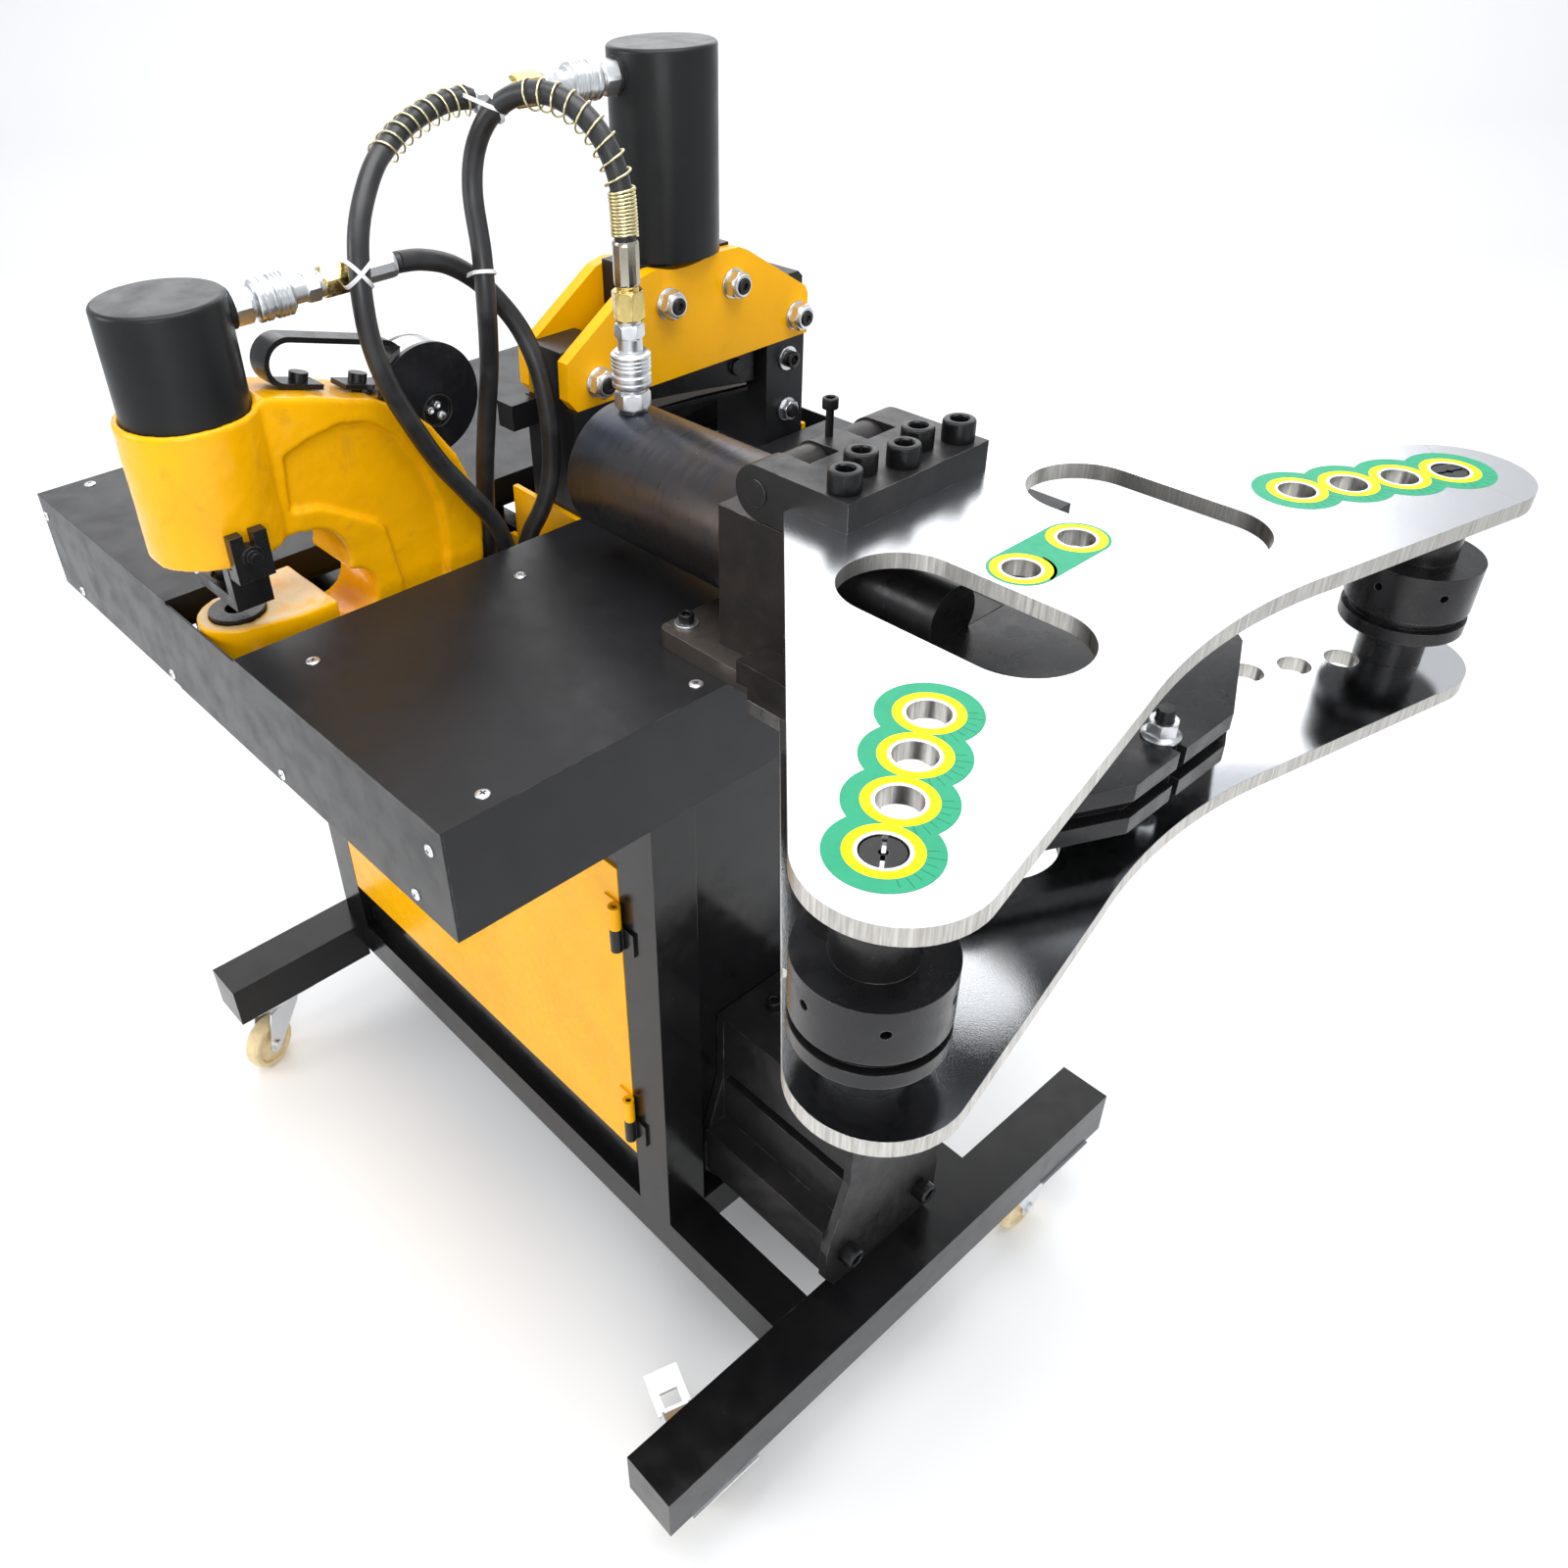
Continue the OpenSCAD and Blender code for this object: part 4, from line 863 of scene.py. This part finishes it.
def sheet_screw(bm, x, y, z, axis, spin, r=6.0):
    """Pan head with a cross recess."""
    at = frame_z((x, y, z), axis, spin)
    steps = 48

    def cross(a, size):
        q = abs(((a + math.pi / 4) % (math.pi / 2)) - math.pi / 4)
        return min(0.46, 0.10 / max(math.sin(q), 1e-3)) * r * size

    rings = []
    for share, h in ((1.0, 0.0), (1.0, 0.5), (0.93, 1.0), (0.78, 1.45), (0.5, 1.75)):
        rings.append(ring_of(bm, at, h, steps, r * share))
    for size, h in ((1.0, 1.78), (0.8, 0.5)):
        rings.append(ring_of(bm, at, h, steps, lambda a, k: cross(a, size)))
    skin(bm, rings[:6])
    skin(bm, rings[5:], 1)
    cap(bm, rings[:1])
    cap(bm, rings[-1:], 1)


bm = bmesh.new()
for x, y in ((-77, 314), (-75, 106), (166, 314), (166, 111),
             (-553, 312), (-553, 106), (-290, 312), (-290, 106)):
    for s in (-1, 1):
        sheet_screw(bm, x, y * s, 860.25, (0, 0, 1), random.uniform(0, 1.5))
for x, z in ((-561.7, 838), (-518, 767), (-298, 766), (-81, 766), (163, 834), (129, 770)):
    for s in (-1, 1):
        sheet_screw(bm, x, 361.1 * s, z, (0, s, 0), random.uniform(0, 1.5), 5.2)
body(new_object("Sheet_screws", bm, [M["zinc"], M["screw"]], 40), "base", "zinc", "table_screws")


def prism(bm, outline, x0, x1, mat=0):
    """Plate between two x planes with a (y, z) outline."""
    lo = [bm.verts.new(Vector((x0, y, z)) * MM) for y, z in outline]
    hi = [bm.verts.new(Vector((x1, y, z)) * MM) for y, z in outline]
    n = len(outline)
    for f in [bm.faces.new(lo), bm.faces.new(hi)] + [
            bm.faces.new((lo[i], lo[(i + 1) % n], hi[(i + 1) % n], hi[i])) for i in range(n)]:
        f.material_index = mat


# shear blade on the crosshead's front, with its ground bevel
bm = bmesh.new()
prism(bm, [(70, 961), (252, 961), (252, 926.6), (70, 951)], -148.8, -143)
bevel = [(78, 949.4), (170, 937.6), (240, 927.8), (240, 925.6), (170, 932.6), (78, 937.6)]
prism(bm, bevel, -148.6, -141.4, 1)
prism(bm, [(74, 936.6), (244, 921.4), (244, 917.6), (74, 931)], -148.6, -143.6)
for y, z in ((100, 953.5), (226, 948)):
    hexagon(bm, 0, 4.5, 15, frame_z((-143.05, y, z), (1, 0, 0), 0.2), 0, (0, 1))
body(new_object("Shear_blade", bm, [M["screw"], M["ground"]], 30), "cutter_slide")

# sunk filler port of the canister with its two screws and relief plug
bm = bmesh.new()
at = frame_z((-168, -114, 991.7), (1, 0, 0))
lathe(bm, [(15.4, 0.1), (15.4, 3.5), (14.3, 3.9), (13.4, 3.4), (13.0, 0.6), (12.6, 0.3)], at, 64, 1)
for y, z in ((-120.5, 993.6), (-113.4, 996.9)):
    cap_screw(bm, -167.6, y, z, 3.4, 3.2, (1, 0, 0), mat=0)
plug = frame_z((-168, -109.4, 985.8), (1, 0, 0))
lathe(bm, [(4.2, 0.2), (4.4, 1.4), (3.6, 2.8), (2.0, 3.6), (0.5, 3.8)], plug, 32)
body(new_object("Canister_port", bm, [M["zinc"], M["screw"]], 30), "base")


# ------------------------------------------------------------------ printed rings on the upper wing
def print_ring(bm, cx, cy, r_in, r_out, z0, z1, mat, sides=(), steps=96):
    """Thin printed film round a hole. sides are (direction, distance) lines that cut its outer edge."""
    angles = {2 * math.pi * k / steps for k in range(steps)}
    for ang, dist in sides:
        if dist < r_out:
            half = math.acos(dist / r_out)
            angles |= {(ang + half) % (2 * math.pi), (ang - half) % (2 * math.pi)}
    angles = sorted(angles)
    rows = []
    for r_key, z in (("in", z1), ("out", z1), ("out", z0), ("in", z0)):
        row = []
        for a in angles:
            r = r_in
            if r_key == "out":
                r = r_out
                for ang, dist in sides:
                    c = math.cos(a - ang)
                    if c > 1e-6:
                        r = min(r, dist / c)
            row.append(bm.verts.new(Vector((cx + r * math.cos(a), cy + r * math.sin(a), z)) * MM))
        rows.append(row)
    skin(bm, rows, mat, closed=True)


def slab(bm, outline, z0, z1, mat=0, at=Matrix.Identity(4)):
    """Thin flat piece with an (x, y) outline between two heights."""
    low, high = [[bm.verts.new(at @ (Vector((x, y, z)) * MM)) for x, y in outline] for z in (z0, z1)]
    skin(bm, [low, high], mat)
    faces = [bm.faces.new(low), bm.faces.new(high)]
    for f in faces:
        f.material_index = mat
    if len(outline) > 4:
        bmesh.ops.triangulate(bm, faces=faces)


bm = bmesh.new()
TOP = 1018.3
for s in (-1, 1):
    row = [(454.6 + i * 40 * math.sin(math.radians(29.4)), s * (198 + i * 40 * math.cos(math.radians(29.4))))
           for i in range(4)]
    lean = math.atan2(row[1][1] - row[0][1], row[1][0] - row[0][0])
    for i, (x, y) in enumerate(row):
        sides = []
        if i < 3:
            sides.append((lean, 20.0))
        if i > 0:
            sides.append((lean + math.pi, 20.0))
        print_ring(bm, x, y, 20.25, 30.15, TOP + 0.02, TOP + 0.14, 0, sides)
        print_ring(bm, x, y, 14.6, 20.25, TOP + 0.02, TOP + 0.16, 1, [(a, 19.99) for a, _ in sides])
        print_ring(bm, x, y, 12.8, 14.6, TOP + 0.02, TOP + 0.15, 2)
        for k in range(-3, 4):
            a = k * math.radians(13) + (0.12 if s < 0 else -0.12)
            ca, sa = math.cos(a), math.sin(a)
            end = 26.5 if k % 2 else 29.0
            mark = [(x + r * ca - w * sa, y + r * sa + w * ca)
                    for r, w in ((20.8, -0.22), (end, -0.22), (end, 0.22), (20.8, 0.22))]
            slab(bm, mark, TOP + 0.08, TOP + 0.18, 3)
for s in (-1, 1):
    a = math.pi / 2 * -s
    print_ring(bm, 390.3, 30 * s, 20.25, 22.4, TOP + 0.02, TOP + 0.14, 0, [(a, 30.0)])
    print_ring(bm, 390.3, 30 * s, 14.6, 20.25, TOP + 0.02, TOP + 0.16, 1)
    print_ring(bm, 390.3, 30 * s, 12.8, 14.6, TOP + 0.02, TOP + 0.15, 2)
for side in (-1, 1):
    pts = []
    for k in range(0, 19):
        a = math.radians(5 * k)
        pts.append((22.4 * math.sin(a), 30 - 22.4 * math.cos(a)))
    ring = [(390.3 + side * 22.4, 30.0)] + [(390.3 + side * x, y) for x, y in reversed(pts)]
    ring += [(390.3 + side * x, -y) for x, y in pts] + [(390.3 + side * 22.4, -30.0)]
    ring = [p for i, p in enumerate(ring) if i == 0 or (Vector(p) - Vector(ring[i - 1])).length > 0.01]
    slab(bm, ring, TOP + 0.02, TOP + 0.14)
rings = new_object("Printed_rings", bm, [M["green"], M["lemon"], M["white"], M["tick"]], 0)
body(rings, "wing")

# bright slots in the roller pins' heads
bm = bmesh.new()
for s in (-1, 1):
    for x0, x1 in ((-11.2, -2.9), (2.9, 11.2)):
        a = math.radians(-53 if s < 0 else 66)
        at = Matrix.Translation(Vector((513.5, s * 302.6, 1013.7)) * MM) @ Matrix.Rotation(a, 4, "Z")
        slab(bm, [(x0, -1.15), (x1, -1.15), (x1, 1.15), (x0, 1.15)], 0.02, 0.9, 0, at)
body(new_object("Pin_slots", bm, [M["rod"]], 0), "base")


# ------------------------------------------------------------------ stage and light
def soft(name, size, energy, at, aim, size_y):
    """Rectangular soft light at a place, aimed at a point."""
    d = bpy.data.lights.new(name, "AREA")
    d.shape = "RECTANGLE"
    d.size = size
    d.size_y = size_y
    d.energy = energy
    o = bpy.data.objects.new(name, d)
    o.location = at
    o.rotation_mode = "QUATERNION"
    o.rotation_quaternion = (Vector(aim) - Vector(at)).to_track_quat("-Z", "Y")
    scene.collection.objects.link(o)


# floor that curves up into a backdrop, square to the camera
bm = bmesh.new()
across = Vector((0.7071, 0.7071, 0))
away = Vector((-0.7071, 0.7071, 0))
prev = None
for d, z in ((-6, 0), (3.0, 0), (3.6, 0.10), (4.05, 0.42), (4.3, 1.0), (4.35, 6)):
    pair = [bm.verts.new(away * d + across * w + Vector((0, 0, z))) for w in (-9, 9)]
    if prev:
        bm.faces.new((prev[0], prev[1], pair[1], pair[0]))
    prev = pair
s = Shade("pale_stage")
floor = new_object("Stage_floor", bm, [s.surface((0.93, 0.93, 0.93, 1), 0.8, 0, (), 0, spec=0.1)], 60)

world = bpy.data.worlds.new("world")
scene.world = world
world.use_nodes = True
world.node_tree.nodes["Background"].inputs[0].default_value = (0.93, 0.96, 1.0, 1)
world.node_tree.nodes["Background"].inputs[1].default_value = 0.7
soft("key", 2.6, 80, (0.3, -0.2, 3.2), (0, 0, 0.8), 2.0)
soft("front", 1.6, 36, (2.6, -2.3, 1.7), (0, 0, 0.7), 1.2)
soft("side", 1.4, 26, (-1.8, -2.6, 1.9), (-0.1, 0, 0.7), 1.2)
soft("back", 5.2, 70, (-2.5, 2.15, 3.0), (0, 0, 0.9), 2.6)
